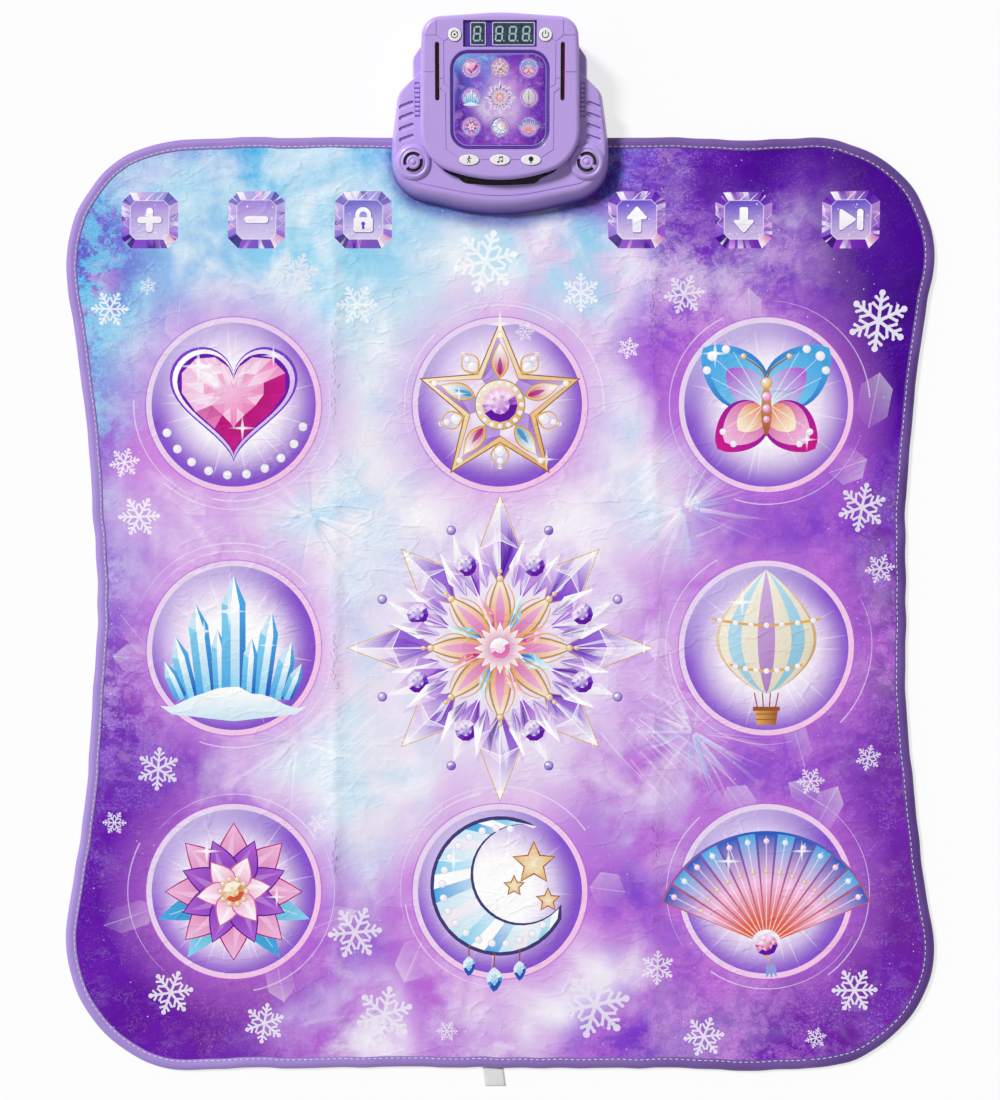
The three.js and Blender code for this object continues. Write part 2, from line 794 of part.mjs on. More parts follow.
function baseShell() {
  const top = consoleWall;
  let shell = solid(flankedBody(footShares, deckShares, 0, 0))
    .add(solid(flankedBody(shoulderFootShares, shoulderTopShares, 0, -shoulderStep)));
  for (const side of [-1, 1]) shell = shell.add(solid(onDeck(speakerBoss(side))));
  const outer = shell;
  const inside = solid(flankedBody(footShares, deckShares, consoleWall, -top, overrun))
    .add(solid(flankedBody(shoulderFootShares, shoulderTopShares, consoleWall,
      -shoulderStep - top, overrun)));
  shell = shell.subtract(inside);
  const deckOpening = prism(roundedLoop(headCorners, headRim), -overrun, overrun);
  const frontSlot = prism(frontSlotOutline, -overrun, overrun);
  const cutters = [deckOpening, frontSlot, ...ventCutters()];
  for (const side of [-1, 1]) {
    const cavityRadius = speakerRadius + fit * 2;
    cutters.push(disc(side * speakerX, speakerCentre, cavityRadius, -overrun, bossHeight - top, grilleSides));
    cutters.push(...grilleCutters(side));
  }
  for (const cutter of cutters) shell = shell.subtract(solid(onDeck(cutter)));
  for (const spot of caseScrewSpots) {
    const low = spot.z + coverPlateThickness + fit;
    const post = disc(spot.x, spot.y, bossRadius, low, postReach);
    const bore = disc(spot.x, spot.y, caseScrewRadius + fit, low - overrun,
      spot.z + caseScrewLength + fit * 2, holeSides);
    const slopeTop = solid(onDeck(prism(rectangle(0, 0, consoleWidth * 2, consoleDepth * 2),
      -top / 2, postReach)));
    const trimmed = solid(post).intersect(outer).subtract(slopeTop).subtract(solid(bore));
    shell = shell.add(trimmed);
  }
  const matRoom = [
    box(-consoleWidth, consoleWidth, consoleFrontY - overrun, matRearY + fit, -overrun, skirtZ),
    box(-consoleWidth, consoleWidth, matRearY - bindingWidth - fit, matRearY + fit,
      -overrun, bindingTopZ + fit),
  ];
  for (const cutter of matRoom) shell = shell.subtract(solid(cutter));
  return geometryOf(shell);
}

place('base_shell', baseShell(), lilacPlastic);

// Bottom cover, with the battery box and the bosses that take the clamp screws

const batteryBoxLength = batteryLength + batteryNubHeight + (contactThickness + contactGap) * 2;
const batteryBoxDepth = batteryPitch * batteryCount + fit;
const batteryZ = floorPlateTopZ + fit + batteryRadius;
const batteryBoxTopZ = batteryZ + batteryRadius + fit;
const doorScrewY = batteryCentreY + batteryBoxDepth / 2 + doorTab / 2;

function doorOutline(growth) {
  const depth = batteryBoxDepth - doorLedge * 2 + doorTab;
  return roundedRectangle(0, batteryCentreY + doorTab / 2,
    batteryBoxLength - doorLedge * 2 + growth * 2, depth + growth * 2, doorLedge, 2);
}

function bottomCover() {
  const inset = consoleWall + fit + bottomCoverInset;
  const outline = roundedLoop(consoleCorners(footShares), inset);
  const shoulderOutline = roundedLoop(consoleCorners(shoulderFootShares), inset);
  const wallEndY = stepWallY + coverPlateThickness;
  const frontTopZ = frontPlateZ + coverPlateThickness;
  const whole = solid(prism(outline, consoleFloorGap, frontTopZ))
    .add(solid(prism(shoulderOutline, consoleFloorGap, frontTopZ)));
  const frontRoom = box(-consoleWidth, consoleWidth, consoleFrontY - overrun, stepWallY,
    -overrun, frontPlateZ);
  const rearRoom = box(-consoleWidth, consoleWidth, wallEndY, consoleRearY + overrun,
    floorPlateTopZ, frontTopZ + overrun);
  let body = whole.subtract(solid(frontRoom)).subtract(solid(rearRoom));
  const boxWidth = batteryBoxLength + batteryBoxWall * 2;
  const boxDepth = batteryBoxDepth + batteryBoxWall * 2;
  body = body.add(solid(prism(rectangle(0, batteryCentreY, boxWidth, boxDepth),
    consoleFloorGap, batteryBoxTopZ + batteryBoxWall)));
  body = body.add(solid(disc(0, doorScrewY, bossRadius, floorPlateTopZ - fit,
    consoleFloorGap + doorScrewLength + fit * 3)));
  for (const spot of clampSpots) {
    body = body.add(solid(disc(spot.x, spot.y, clampBossRadius, skirtZ, clampScrewTop + fit * 3)));
  }
  const cutters = [
    prism(rectangle(0, batteryCentreY, batteryBoxLength, batteryBoxDepth),
      floorPlateTopZ, batteryBoxTopZ),
    prism(doorOutline(fit), -overrun, floorPlateTopZ - fit),
    prism(rectangle(0, batteryCentreY, batteryBoxLength - doorLedge * 2,
      batteryBoxDepth - doorLedge * 2), consoleFloorGap, floorPlateTopZ + fit),
    disc(0, doorScrewY, doorScrewRadius + fit, -overrun,
      consoleFloorGap + doorScrewLength + fit * 2, holeSides),
    box(-tailWidth / 2 - fit, tailWidth / 2 + fit, stepWallY - overrun, wallEndY + overrun / 2,
      lowerFilmZ - fit, spacerZ + fit),
  ];
  for (const spot of clampSpots) {
    cutters.push(disc(spot.x, spot.y, clampScrewRadius + fit, -overrun,
      clampScrewTop + fit * 2, holeSides));
  }
  for (const spot of caseScrewSpots) {
    cutters.push(disc(spot.x, spot.y, caseScrewHeadRadius + fit, spot.z - overrun,
      spot.z + caseScrewHeadHeight + fit));
    cutters.push(disc(spot.x, spot.y, caseScrewRadius + fit, spot.z - overrun,
      spot.z + coverPlateThickness + overrun / 2, holeSides));
  }
  for (const cutter of cutters) body = body.subtract(solid(cutter));
  return geometryOf(body);
}

place('bottom_cover', bottomCover(), lilacPlastic);

for (const spot of caseScrewSpots) {
  const geometry = screw(caseScrewHeadRadius, caseScrewHeadHeight, caseScrewRadius, caseScrewLength);
  const mesh = place(`case_screw_${spot.name}`, geometry, steel);
  mesh.position.set(spot.x, spot.y, spot.z);
}

// Battery door, its screw, the batteries and their contacts

function batteryDoor() {
  const plate = prism(doorOutline(0), consoleFloorGap, floorPlateTopZ - fit * 2);
  return cut(plate, [
    disc(0, doorScrewY, doorScrewHeadRadius + fit, -overrun,
      consoleFloorGap + doorScrewHeadHeight),
    disc(0, doorScrewY, doorScrewRadius + fit, -overrun, floorPlateTopZ + overrun, holeSides),
  ]);
}

place('battery_door', batteryDoor(), lilacPlastic);
const doorScrew = place('battery_door_screw',
  screw(doorScrewHeadRadius, doorScrewHeadHeight - fit, doorScrewRadius, doorScrewLength), steel);
doorScrew.position.set(0, doorScrewY, consoleFloorGap);

for (let index = 0; index < batteryCount; index++) {
  const half = batteryLength / 2;
  const geometry = new THREE.LatheGeometry([
    new THREE.Vector2(0, -half),
    new THREE.Vector2(batteryRadius, -half),
    new THREE.Vector2(batteryRadius, half),
    new THREE.Vector2(batteryNubRadius, half),
    new THREE.Vector2(batteryNubRadius, half + batteryNubHeight),
    new THREE.Vector2(0, half + batteryNubHeight),
  ], smallSides + holeSides / 2).rotateZ(Math.PI / 2);
  const battery = place(`battery_${index + 1}`, geometry, batterySleeve);
  const alternate = index % 2 === 0 ? 0 : Math.PI;
  battery.rotation.z = alternate;
  const shift = (alternate === 0 ? 1 : -1) * batteryNubHeight / 2;
  const middle = (batteryCount - 1) / 2;
  battery.position.set(shift, batteryCentreY + (index - middle) * batteryPitch, batteryZ);
}

['left', 'right'].forEach((name, index) => {
  const side = index === 0 ? -1 : 1;
  const outer = side * (batteryBoxLength / 2 - fit);
  const inner = outer - side * contactThickness;
  const halfDepth = batteryBoxDepth / 2 - fit;
  place(`battery_contacts_${name}`, box(Math.min(outer, inner), Math.max(outer, inner),
    batteryCentreY - halfDepth, batteryCentreY + halfDepth,
    batteryZ - contactHeight / 2, batteryZ + contactHeight / 2), steel);
});

// Film connector and feet

place('film_connector', box(-connectorWidth / 2, connectorWidth / 2,
  matRearY + tailReach + fit, matRearY + tailReach + fit + connectorDepth,
  floorPlateTopZ, floorPlateTopZ + connectorHeight), whitePlastic);

['left', 'right'].forEach((name, index) => {
  const side = index === 0 ? -1 : 1;
  const footX = side * (consoleWidth / 2 - footSideMargin);
  const footY = consoleRearY - footRearMargin;
  place(`foot_${name}`, disc(footX, footY, footRadius, 0, consoleFloorGap), blackPlastic);
});

// Light guides and speakers

place('front_light_guide', prism(
  rectangle(0, frontGuideStart + frontGuideDepth / 2, frontGuideWidth, frontGuideDepth),
  -consoleWall - fit - lightGuideThickness, -consoleWall - fit), redPlastic, deck);

['left', 'right'].forEach((name, index) => {
  const side = index === 0 ? -1 : 1;
  place(`side_light_guide_${name}`, prism(
    rectangle(side * slotX, slotCentre, lightGuideWidth, lightGuideLength),
    ceiling - fit - lightGuideThickness, ceiling - fit), redPlastic, deck);
  const speakerTop = bossHeight - consoleWall - fit;
  const speakerGeometry = new THREE.LatheGeometry([
    new THREE.Vector2(0, speakerTop - speakerConeDepth - speakerMagnetDepth),
    new THREE.Vector2(speakerMagnetRadius, speakerTop - speakerConeDepth - speakerMagnetDepth),
    new THREE.Vector2(speakerMagnetRadius, speakerTop - speakerConeDepth),
    new THREE.Vector2(speakerRadius, speakerTop - bossFoot),
    new THREE.Vector2(speakerRadius, speakerTop),
    new THREE.Vector2(0, speakerTop),
  ], grilleSides).rotateX(Math.PI / 2);
  const speaker = place(`speaker_${name}`, speakerGeometry, blackPlastic, deck);
  speaker.position.set(side * speakerX, speakerCentre, 0);
});

// Head cover

const roundButtons = [
  { name: 'loop_button', x: -roundButtonX, y: roundButtonCentre },
  { name: 'power_button', x: roundButtonX, y: roundButtonCentre },
];
const ovalButtons = ['mode_button', 'song_button', 'volume_button'].map((name, index) =>
  ({ name, x: (index - 1) * ovalButtonSpacing, y: ovalButtonCentre }));

function roundButtonOutline(button, growth) {
  return circle(button.x, button.y, roundButtonDiameter / 2 + growth, smallSides);
}

function ovalButtonOutline(button, growth) {
  const curve = new THREE.EllipseCurve(button.x, button.y,
    ovalButtonLength / 2 + growth, ovalButtonWidth / 2 + growth);
  return curve.getPoints(smallSides + holeSides / 2).slice(0, -1);
}

function headBody(inset, low, high, edge) {
  const levels = [[0, low], [0, high - edge * 2], [edge / 2, high - edge / 2], [edge * 2, high]];
  return loft(levels.map(([extra, height]) =>
    roundedLoop(headCorners, inset + extra).map((point) =>
      new THREE.Vector3(point.x, point.y, height))));
}

function headCover() {
  const outer = headBody(0, fit, headHeight, headWall / 2);
  const tongueInset = headRim + fit;
  const tongueInner = tongueInset + headTongueWall;
  const tongue = ringAlong((inset) => roundedLoop(headCorners, inset), [
    [tongueInset, -headTongueDepth], [tongueInset, headWall], [tongueInner, headWall],
    [tongueInner, -headTongueDepth],
  ]);
  const cavity = prism(roundedLoop(headCorners, headWall), headWall, ceiling);
  const mouth = prism(roundedLoop(headCorners, tongueInner), -overrun, headWall + fit);
  const recess = prism(roundedRectangle(0, panelCentre, panelWidth, panelLength, panelCorner, loopSteps),
    headHeight - panelRecess, headHeight + overrun);
  const window = prism(rectangle(0, displayCentre, displayWidth, displayHeight),
    ceiling - overrun, headHeight + overrun);
  let body = solid(outer).add(solid(tongue));
  for (const cutter of [cavity, mouth, recess, window]) body = body.subtract(solid(cutter));
  for (const side of [-1, 1]) {
    const slot = capsule(side * slotX, slotCentre, slotLength, slotWidth, Math.PI / 2);
    body = body.subtract(solid(prism(slot, ceiling - fit, headHeight + overrun)));
    for (const lengthShare of boardPostShares) {
      const postX = side * (boardWidth / 2 - boardPostMargin);
      const postY = boardFront + lengthShare * boardLength;
      const post = disc(postX, postY, boardPostRadius, boardTop + fit, ceiling + fit, holeSides);
      body = body.add(solid(post));
    }
  }
  const holes = [
    ...roundButtons.map((button) => roundButtonOutline(button, fit)),
    ...ovalButtons.map((button) => ovalButtonOutline(button, fit)),
  ];
  for (const hole of holes) {
    body = body.subtract(solid(prism(hole, ceiling - fit, headHeight + overrun)));
  }
  return geometryOf(body);
}

place('head_cover', headCover(), lilacPlastic, deck);

// Display, picture panel, board, membrane and buttons

const bezelTop = ceiling - fit;
const digitTop = headHeight - digitFaceDepth;

function displayBezel() {
  const plate = rectangle(0, displayCentre, displayWidth + fit * 2, displayHeight + bezelLip);
  const windows = [[singleDigitX, singleDigitWidth], [tripleDigitX, tripleDigitWidth]]
    .map(([x, width]) => rectangle(x, displayCentre, width + fit * 2, digitHeight + fit * 2));
  return cut(prism(plate, bezelTop - bezelThickness, bezelTop),
    windows.map((outline) => prism(outline, bezelTop - overrun, bezelTop + overrun)));
}

place('display_bezel', displayBezel(), violetPlastic, deck);
place('digit_display_single', prism(
  rectangle(singleDigitX, displayCentre, singleDigitWidth, digitHeight),
  boardTop + fit, digitTop), darkGlass, deck);
place('digit_display_triple', prism(
  rectangle(tripleDigitX, displayCentre, tripleDigitWidth, digitHeight),
  boardTop + fit, digitTop), darkGlass, deck);

const panelBottom = headHeight - panelRecess + fit;
place('picture_panel', prism(
  roundedRectangle(0, panelCentre, panelWidth - panelGroove * 2, panelLength - panelGroove * 2,
    panelCorner - panelGroove, loopSteps),
  panelBottom, panelBottom + panelThickness), panelPrint, deck);

function mainBoard() {
  const middle = boardFront + boardLength / 2;
  let board = solid(prism(cutRectangle(0, middle, boardWidth, boardLength, boardCorner),
    boardBottom, boardTop));
  board = board.add(solid(prism(rectangle(0, middle, chipSize, chipSize),
    boardBottom, boardTop + chipHeight)));
  for (const button of roundButtons) {
    board = board.add(solid(prism(rectangle(button.x, button.y, switchSize, switchSize),
      boardBottom, switchTop)));
  }
  return geometryOf(board);
}

place('main_board', mainBoard(), boardGreen, deck);

const membraneBottom = boardTop + fit;
const membraneTop = membraneBottom + membraneThickness;

function keypadMembrane() {
  let membrane = solid(prism(
    roundedRectangle(0, ovalButtonCentre, membraneWidth, membraneLength, boardCorner, 2),
    membraneBottom, membraneTop));
  for (const button of ovalButtons) {
    membrane = membrane.add(solid(disc(button.x, button.y, domeRadius,
      membraneBottom, switchTop)));
  }
  return geometryOf(membrane);
}

place('keypad_membrane', keypadMembrane(), greyRubber, deck);

// A button cap with the flange that keeps it under the head cover.
function button(outlineAt) {
  const cap = solid(prism(outlineAt(0), buttonBottom, headHeight + buttonRise));
  const flange = solid(prism(outlineAt(buttonFlange), buttonBottom, ceiling - fit));
  return geometryOf(cap.add(flange));
}

for (const spot of roundButtons) {
  place(spot.name, button((growth) => roundButtonOutline(spot, growth)), whitePlastic, deck);
}
for (const spot of ovalButtons) {
  place(spot.name, button((growth) => ovalButtonOutline(spot, growth)), whitePlastic, deck);
}

export default danceMat;
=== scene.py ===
# Electronic dance mat: a printed floor mat with nine step pads and six touch pads, and a
# battery-powered console over its rear edge. Lengths here are millimetres and angles are
# degrees; meshes are made in metres. +Y runs from the player toward the console.

import math

import bmesh
import bpy
import numpy as np
from mathutils import Matrix, Vector
from mathutils.geometry import delaunay_2d_cdt


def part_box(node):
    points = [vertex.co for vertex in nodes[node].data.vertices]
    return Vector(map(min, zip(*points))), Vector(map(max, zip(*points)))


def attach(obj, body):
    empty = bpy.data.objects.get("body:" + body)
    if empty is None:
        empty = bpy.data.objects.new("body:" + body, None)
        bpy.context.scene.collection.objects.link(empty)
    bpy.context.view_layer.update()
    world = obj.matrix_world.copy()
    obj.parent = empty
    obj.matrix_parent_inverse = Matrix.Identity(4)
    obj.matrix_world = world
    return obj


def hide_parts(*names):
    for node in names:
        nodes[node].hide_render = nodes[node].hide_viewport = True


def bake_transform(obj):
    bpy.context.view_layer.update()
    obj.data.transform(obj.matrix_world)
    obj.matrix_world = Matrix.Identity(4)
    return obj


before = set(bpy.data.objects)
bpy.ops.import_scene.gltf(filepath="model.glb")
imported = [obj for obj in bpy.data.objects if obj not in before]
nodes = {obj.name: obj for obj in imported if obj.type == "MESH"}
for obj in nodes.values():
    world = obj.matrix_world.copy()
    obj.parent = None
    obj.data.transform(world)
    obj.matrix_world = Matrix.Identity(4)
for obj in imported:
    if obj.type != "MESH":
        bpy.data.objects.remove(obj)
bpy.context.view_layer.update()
millimetre = 0.001


def node_box(name):
    low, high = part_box(name)
    return np.array(low) / millimetre, np.array(high) / millimetre


# Camera, straight above the mat

camera_height = 1600
camera_y = 51.2
view_length = 1062.3
sensor_size = 36
clip_start = 0.05

mat_low, mat_high = node_box("edge_binding")
mat_top = node_box("top_cover")[1][2]

scene = bpy.context.scene
camera = bpy.data.objects.new("camera", bpy.data.cameras.new("camera"))
scene.collection.objects.link(camera)
camera.location = Vector((0, camera_y, camera_height)) * millimetre
camera.data.sensor_fit = "AUTO"
camera.data.sensor_width = sensor_size
camera.data.lens = sensor_size * (camera_height - mat_top) / view_length
camera.data.clip_start = clip_start
scene.camera = camera
scene.view_settings.view_transform = "Standard"


# Light: a bright even room with one soft lamp at the rear left

sky_strength = 0.3
lamp_strength = 2.98
lamp_size = 11
lamp_from = (-0.66, 0.52, 0.92)
floor_colour = (0.93, 0.93, 0.94, 1)
floor_glow = 0.72
floor_half = 6000
floor_drop = 0.4

world = bpy.data.worlds.new("room")
scene.world = world
world.use_nodes = True
background = world.node_tree.nodes["Background"]
background.inputs["Color"].default_value = (1, 1, 1, 1)
light_path = world.node_tree.nodes.new("ShaderNodeLightPath")
sky = world.node_tree.nodes.new("ShaderNodeMapRange")
sky.inputs["To Min"].default_value = sky_strength
world.node_tree.links.new(light_path.outputs["Is Camera Ray"], sky.inputs["Value"])
world.node_tree.links.new(sky.outputs["Result"], background.inputs["Strength"])

lamp = bpy.data.objects.new("lamp", bpy.data.lights.new("lamp", "SUN"))
scene.collection.objects.link(lamp)
lamp.data.energy = lamp_strength
lamp.data.angle = math.radians(lamp_size)
lamp.rotation_euler = Vector(lamp_from).to_track_quat("Z", "Y").to_euler()


# Node trees: each material is a function that adds its nodes to a fresh shader

stripe_scale = 0.314  # turns a thread's width into the scale of a wave texture
eight_bit = 255


class Shader:
    """A material's node tree, built from short calls."""

    def __init__(self, name, colour=(1, 1, 1), roughness=0.5, metallic=0.0, **sockets):
        self.material = bpy.data.materials.new(name)
        self.material.use_nodes = True
        self.tree = self.material.node_tree
        self.bsdf = self.tree.nodes["Principled BSDF"]
        self.set("Base Color", (*colour, 1))
        self.set("Roughness", roughness)
        self.set("Metallic", metallic)
        for key, value in sockets.items():
            self.set(key.replace("_", " ").title(), value)
        self.place = self.node("ShaderNodeTexCoord").outputs["Object"]

    def set(self, socket, value):
        if isinstance(value, bpy.types.NodeSocket):
            self.tree.links.new(value, self.bsdf.inputs[socket])
        else:
            self.bsdf.inputs[socket].default_value = value

    def node(self, kind, **settings):
        made = self.tree.nodes.new(kind)
        for key, value in settings.items():
            setattr(made, key, value)
        return made

    def fill(self, made, inputs):
        for key, value in inputs.items():
            if isinstance(value, bpy.types.NodeSocket):
                self.tree.links.new(value, made.inputs[key])
            else:
                made.inputs[key].default_value = value
        return made

    def noise(self, size, detail, roughness=0.5, distortion=0.0, place=None):
        made = self.fill(self.node("ShaderNodeTexNoise"), {
            "Vector": place or self.place, "Scale": 1 / (size * millimetre), "Detail": detail,
            "Roughness": roughness, "Distortion": distortion})
        return made.outputs["Fac"]

    def grains(self, size):
        made = self.fill(self.node("ShaderNodeTexVoronoi"), {
            "Vector": self.place, "Scale": 1 / (size * millimetre)})
        return made.outputs["Distance"]

    def stripes(self, size, direction, distortion=0.0):
        made = self.fill(self.node("ShaderNodeTexWave", bands_direction=direction), {
            "Vector": self.place, "Scale": stripe_scale / (size * millimetre), "Distortion": distortion})
        return made.outputs["Fac"]

    def weave(self, size, distortion):
        return self.times(self.stripes(size, "X", distortion), self.stripes(size, "Y", distortion))

    def along(self, axis):
        """How far along an axis a place lies, in metres."""
        made = self.fill(self.node("ShaderNodeSeparateXYZ"), {"Vector": self.place})
        return made.outputs[axis]

    def math(self, operation, *values):
        made = self.node("ShaderNodeMath", operation=operation)
        return self.fill(made, dict(enumerate(values))).outputs["Value"]

    def ramp(self, value, low, high, first=0.0, last=1.0):
        made = self.fill(self.node("ShaderNodeMapRange", interpolation_type="SMOOTHSTEP"), {
            "Value": value, "From Min": low, "From Max": high, "To Min": first, "To Max": last})
        return made.outputs["Result"]

    def times(self, first, second):
        return self.math("MULTIPLY", first, second)

    def plus(self, first, second):
        return self.math("ADD", first, second)

    def mix(self, factor, first, last):
        made = self.node("ShaderNodeMix", data_type="RGBA")
        ends = {key: value if isinstance(value, bpy.types.NodeSocket) else (*value, 1)
                for key, value in {6: first, 7: last}.items()}
        return self.fill(made, {0: factor, **ends}).outputs[2]

    def two_tone(self, share, first, last):
        self.set("Base Color", self.mix(share, linear_colour(first), linear_colour(last)))

    def stretched(self, scale, turn=0.0):
        made = self.fill(self.node("ShaderNodeMapping"), {
            "Vector": self.place, "Scale": scale, "Rotation": (0, 0, math.radians(turn))})
        return made.outputs["Vector"]

    def attribute(self, name, output="Color"):
        return self.node("ShaderNodeAttribute", attribute_name=name).outputs[output]

    def bump(self, height, distance, strength=1.0):
        made = self.fill(self.node("ShaderNodeBump"), {
            "Height": height, "Distance": distance * millimetre, "Strength": strength})
        self.set("Normal", made.outputs["Normal"])


def linear_colour(colour):
    """A colour as light values, from its three screen values."""
    values = np.array(colour, float) / eight_bit
    return tuple(np.where(values <= 0.04045, values / 12.92, ((values + 0.055) / 1.055) ** 2.4))


# Meshes


def mesh_object(name, points, faces, material=None, placed_by=None):
    """A mesh object from millimetre points, moved out of a turned frame if one is given."""
    placed = np.array(points, float) * millimetre
    mesh = bpy.data.meshes.new(name)
    mesh.from_pydata(placed.tolist(), [], [list(face) for face in faces])
    if placed_by is not None:
        mesh.transform(placed_by)
    mesh.update()
    made = bpy.data.objects.new(name, mesh)
    scene.collection.objects.link(made)
    if material is not None:
        mesh.materials.append(material)
    for polygon in mesh.polygons:
        polygon.use_smooth = True
    return made


def flat_shading(made):
    made.data.polygons.foreach_set("use_smooth", [False] * len(made.data.polygons))
    return made


def finish_piece(made, body, replaced=()):
    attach(made, body)
    if replaced:
        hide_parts(*replaced)
    return made


def level(outline, height):
    """The points of an outline at one height."""
    return np.column_stack([outline, np.full(len(outline), float(height))])


# Noise that gives the same values each run

lattice_size = 64


def eased(share):
    return share * share * (3 - 2 * share)


def smooth_noise(x, y, size, seed):
    lattice = np.random.default_rng(seed).uniform(-1, 1, (lattice_size, lattice_size))
    u, v = np.asarray(x) / size, np.asarray(y) / size
    column, row = np.floor(u).astype(int), np.floor(v).astype(int)
    share_x, share_y = eased(u - column), eased(v - row)

    def corner(i, j):
        return lattice[(row + j) % lattice_size, (column + i) % lattice_size]

    low = corner(0, 0) * (1 - share_x) + corner(1, 0) * share_x
    high = corner(0, 1) * (1 - share_x) + corner(1, 1) * share_x
    return low * (1 - share_y) + high * share_y


def smoothstep(value, low, high):
    return eased(np.clip((value - low) / (high - low), 0, 1))


# Outlines


def turned(points, angle):
    cosine, sine = math.cos(math.radians(angle)), math.sin(math.radians(angle))
    points = np.asarray(points, float)
    x, y = points[:, 0], points[:, 1]
    return np.column_stack([x * cosine - y * sine, x * sine + y * cosine])


def arc(centre, radius, start, end, steps):
    angles = np.radians(np.linspace(start, end, steps + 1))
    reach_x, reach_y = np.broadcast_to(radius, 2)
    return np.column_stack([centre[0] + reach_x * np.cos(angles), centre[1] + reach_y * np.sin(angles)])


def circle(centre, radius, sides):
    return arc(centre, radius, 0, 360, sides)[:-1]


def rectangle(centre, width, length):
    half = np.array([width, length]) / 2
    return np.array(centre) + half * np.array([[-1, -1], [1, -1], [1, 1], [-1, 1]])


def rounded_rectangle(centre, width, length, radius, steps):
    x, y = width / 2 - radius, length / 2 - radius
    corners = [((x, -y), -90), ((x, y), 0), ((-x, y), 90), ((-x, -y), 180)]
    return np.vstack([
        arc(np.add(centre, corner), radius, start, start + 90, steps) for corner, start in corners])


def even_steps(points, step, closed=True):
    """The same line with points a step apart."""
    line = np.vstack([points, points[:1]]) if closed else np.asarray(points)
    lengths = np.hypot(*np.diff(line, axis=0).T)
    along = np.concatenate([[0], np.cumsum(lengths)])
    count = max(3, round(along[-1] / step))
    marks = np.linspace(0, along[-1], count + 1)
    spread = np.column_stack([np.interp(marks, along, line[:, axis]) for axis in (0, 1)])
    return spread[:-1] if closed else spread


def outward(points, closed=True):
    """The direction to the right of travel at each point of a line."""
    if closed:
        way = np.roll(points, -1, axis=0) - np.roll(points, 1, axis=0)
    else:
        way = np.gradient(points, axis=0)
    way = way / np.maximum(np.hypot(*way.T), 1e-9)[:, None]
    return np.column_stack([way[:, 1], -way[:, 0]])


def stroke(points, width, taper=1.0):
    """The outline of a line drawn with a pen of that width, tapering toward its end."""
    points = np.asarray(points, float)
    side = outward(points, False) * (np.linspace(1, taper, len(points)) * width / 2)[:, None]
    return np.vstack([points + side, (points - side)[::-1]])


# The mat's shape

corner_radius = 120
waist_inset = 29
outline_step = 3
arc_steps = 60
half_width, half_length = (mat_high - mat_low)[:2] / 2


def mat_outline(inset, step=outline_step):
    corner_x, corner_y = half_width - corner_radius, half_length - corner_radius
    waist = corner_radius - waist_inset
    side_radius = (waist ** 2 + corner_y ** 2 - corner_radius ** 2) / (2 * waist_inset)
    meet = math.degrees(math.atan2(corner_y, waist + side_radius))
    side_x = corner_x + waist + side_radius
    radius = corner_radius - inset
    right = np.vstack([
        arc((corner_x, -corner_y), radius, -90, meet, arc_steps),
        arc((side_x, 0), side_radius + inset, 180 + meet, 180 - meet, arc_steps)[1:-1],
        arc((corner_x, corner_y), radius, -meet, 90, arc_steps)])
    return even_steps(np.vstack([right, -right]), step)


# Where the console stands and where the pads lie

console_low, console_high = node_box("base_shell")
step_pad_names = [name for name in nodes if name.startswith("step_pad_")]
touch_pad_names = [name for name in nodes if name.startswith("touch_pad_")]


def pad_centre(name):
    low, high = node_box(name)
    return (low + high)[:2] / 2


pad_radius = np.ptp(np.array(node_box(step_pad_names[0])), axis=0)[0] / 2
tile_half = np.ptp(np.array(node_box(touch_pad_names[0])), axis=0)[0] / 2
pad_top = node_box(step_pad_names[0])[1][2]
pad_rise = pad_top - mat_top

# How the mat lies: soft wrinkles, two fold creases, swelling pads and a wavy rim

crease_places = [(-161, 1.7, 21), (152, 1.6, 22)]  # place across, height, seed
crease_width = 4.5
crease_spread = 24
crease_wanders = [(5, 140), (1.6, 23)]  # height and length of the waves in its line
crease_fade_length = 60
wrinkle_runs = [(18, 2.6, 31), (-42, 2.2, 32), (80, 3.0, 33)]  # turn, stretch, seed
wrinkle_height = 0.5
wrinkle_size = 62
wrinkle_patch_size = 170
crinkle_height = 0.16
crinkle_size = 15
lowest_lie = -0.25
calm_from, calm_margin = 4, 26
console_gap, console_margin = 2, 30
pad_swell_width = 26
rim_reach = 90
rim_sway = 2.2
rim_ripple = 0.7
sway_sizes, ripple_sizes = (95, 80), (21, 19)
steady_span = (110, 170)
steady_rear = (-300, -200)


def edge_distance(x, y):
    """How far a place lies inside the mat's outline, as far as the rim reaches."""
    corner_x, corner_y = half_width - corner_radius, half_length - corner_radius
    side = half_width - np.abs(x) - waist_inset * np.cos(np.clip(y / corner_y, -1, 1) * math.pi / 2) ** 1.5
    end = half_length - np.abs(y)
    in_corner = (np.abs(x) > corner_x) & (np.abs(y) > corner_y)
    corner = corner_radius - np.hypot(np.abs(x) - corner_x, np.abs(y) - corner_y)
    return np.where(in_corner, corner, np.minimum(side, end))


def crease_line(y, place, seed):
    for index, (reach, size) in enumerate(crease_wanders):
        place = place + reach * smooth_noise(y, y * 0, size, seed + index)
    return place


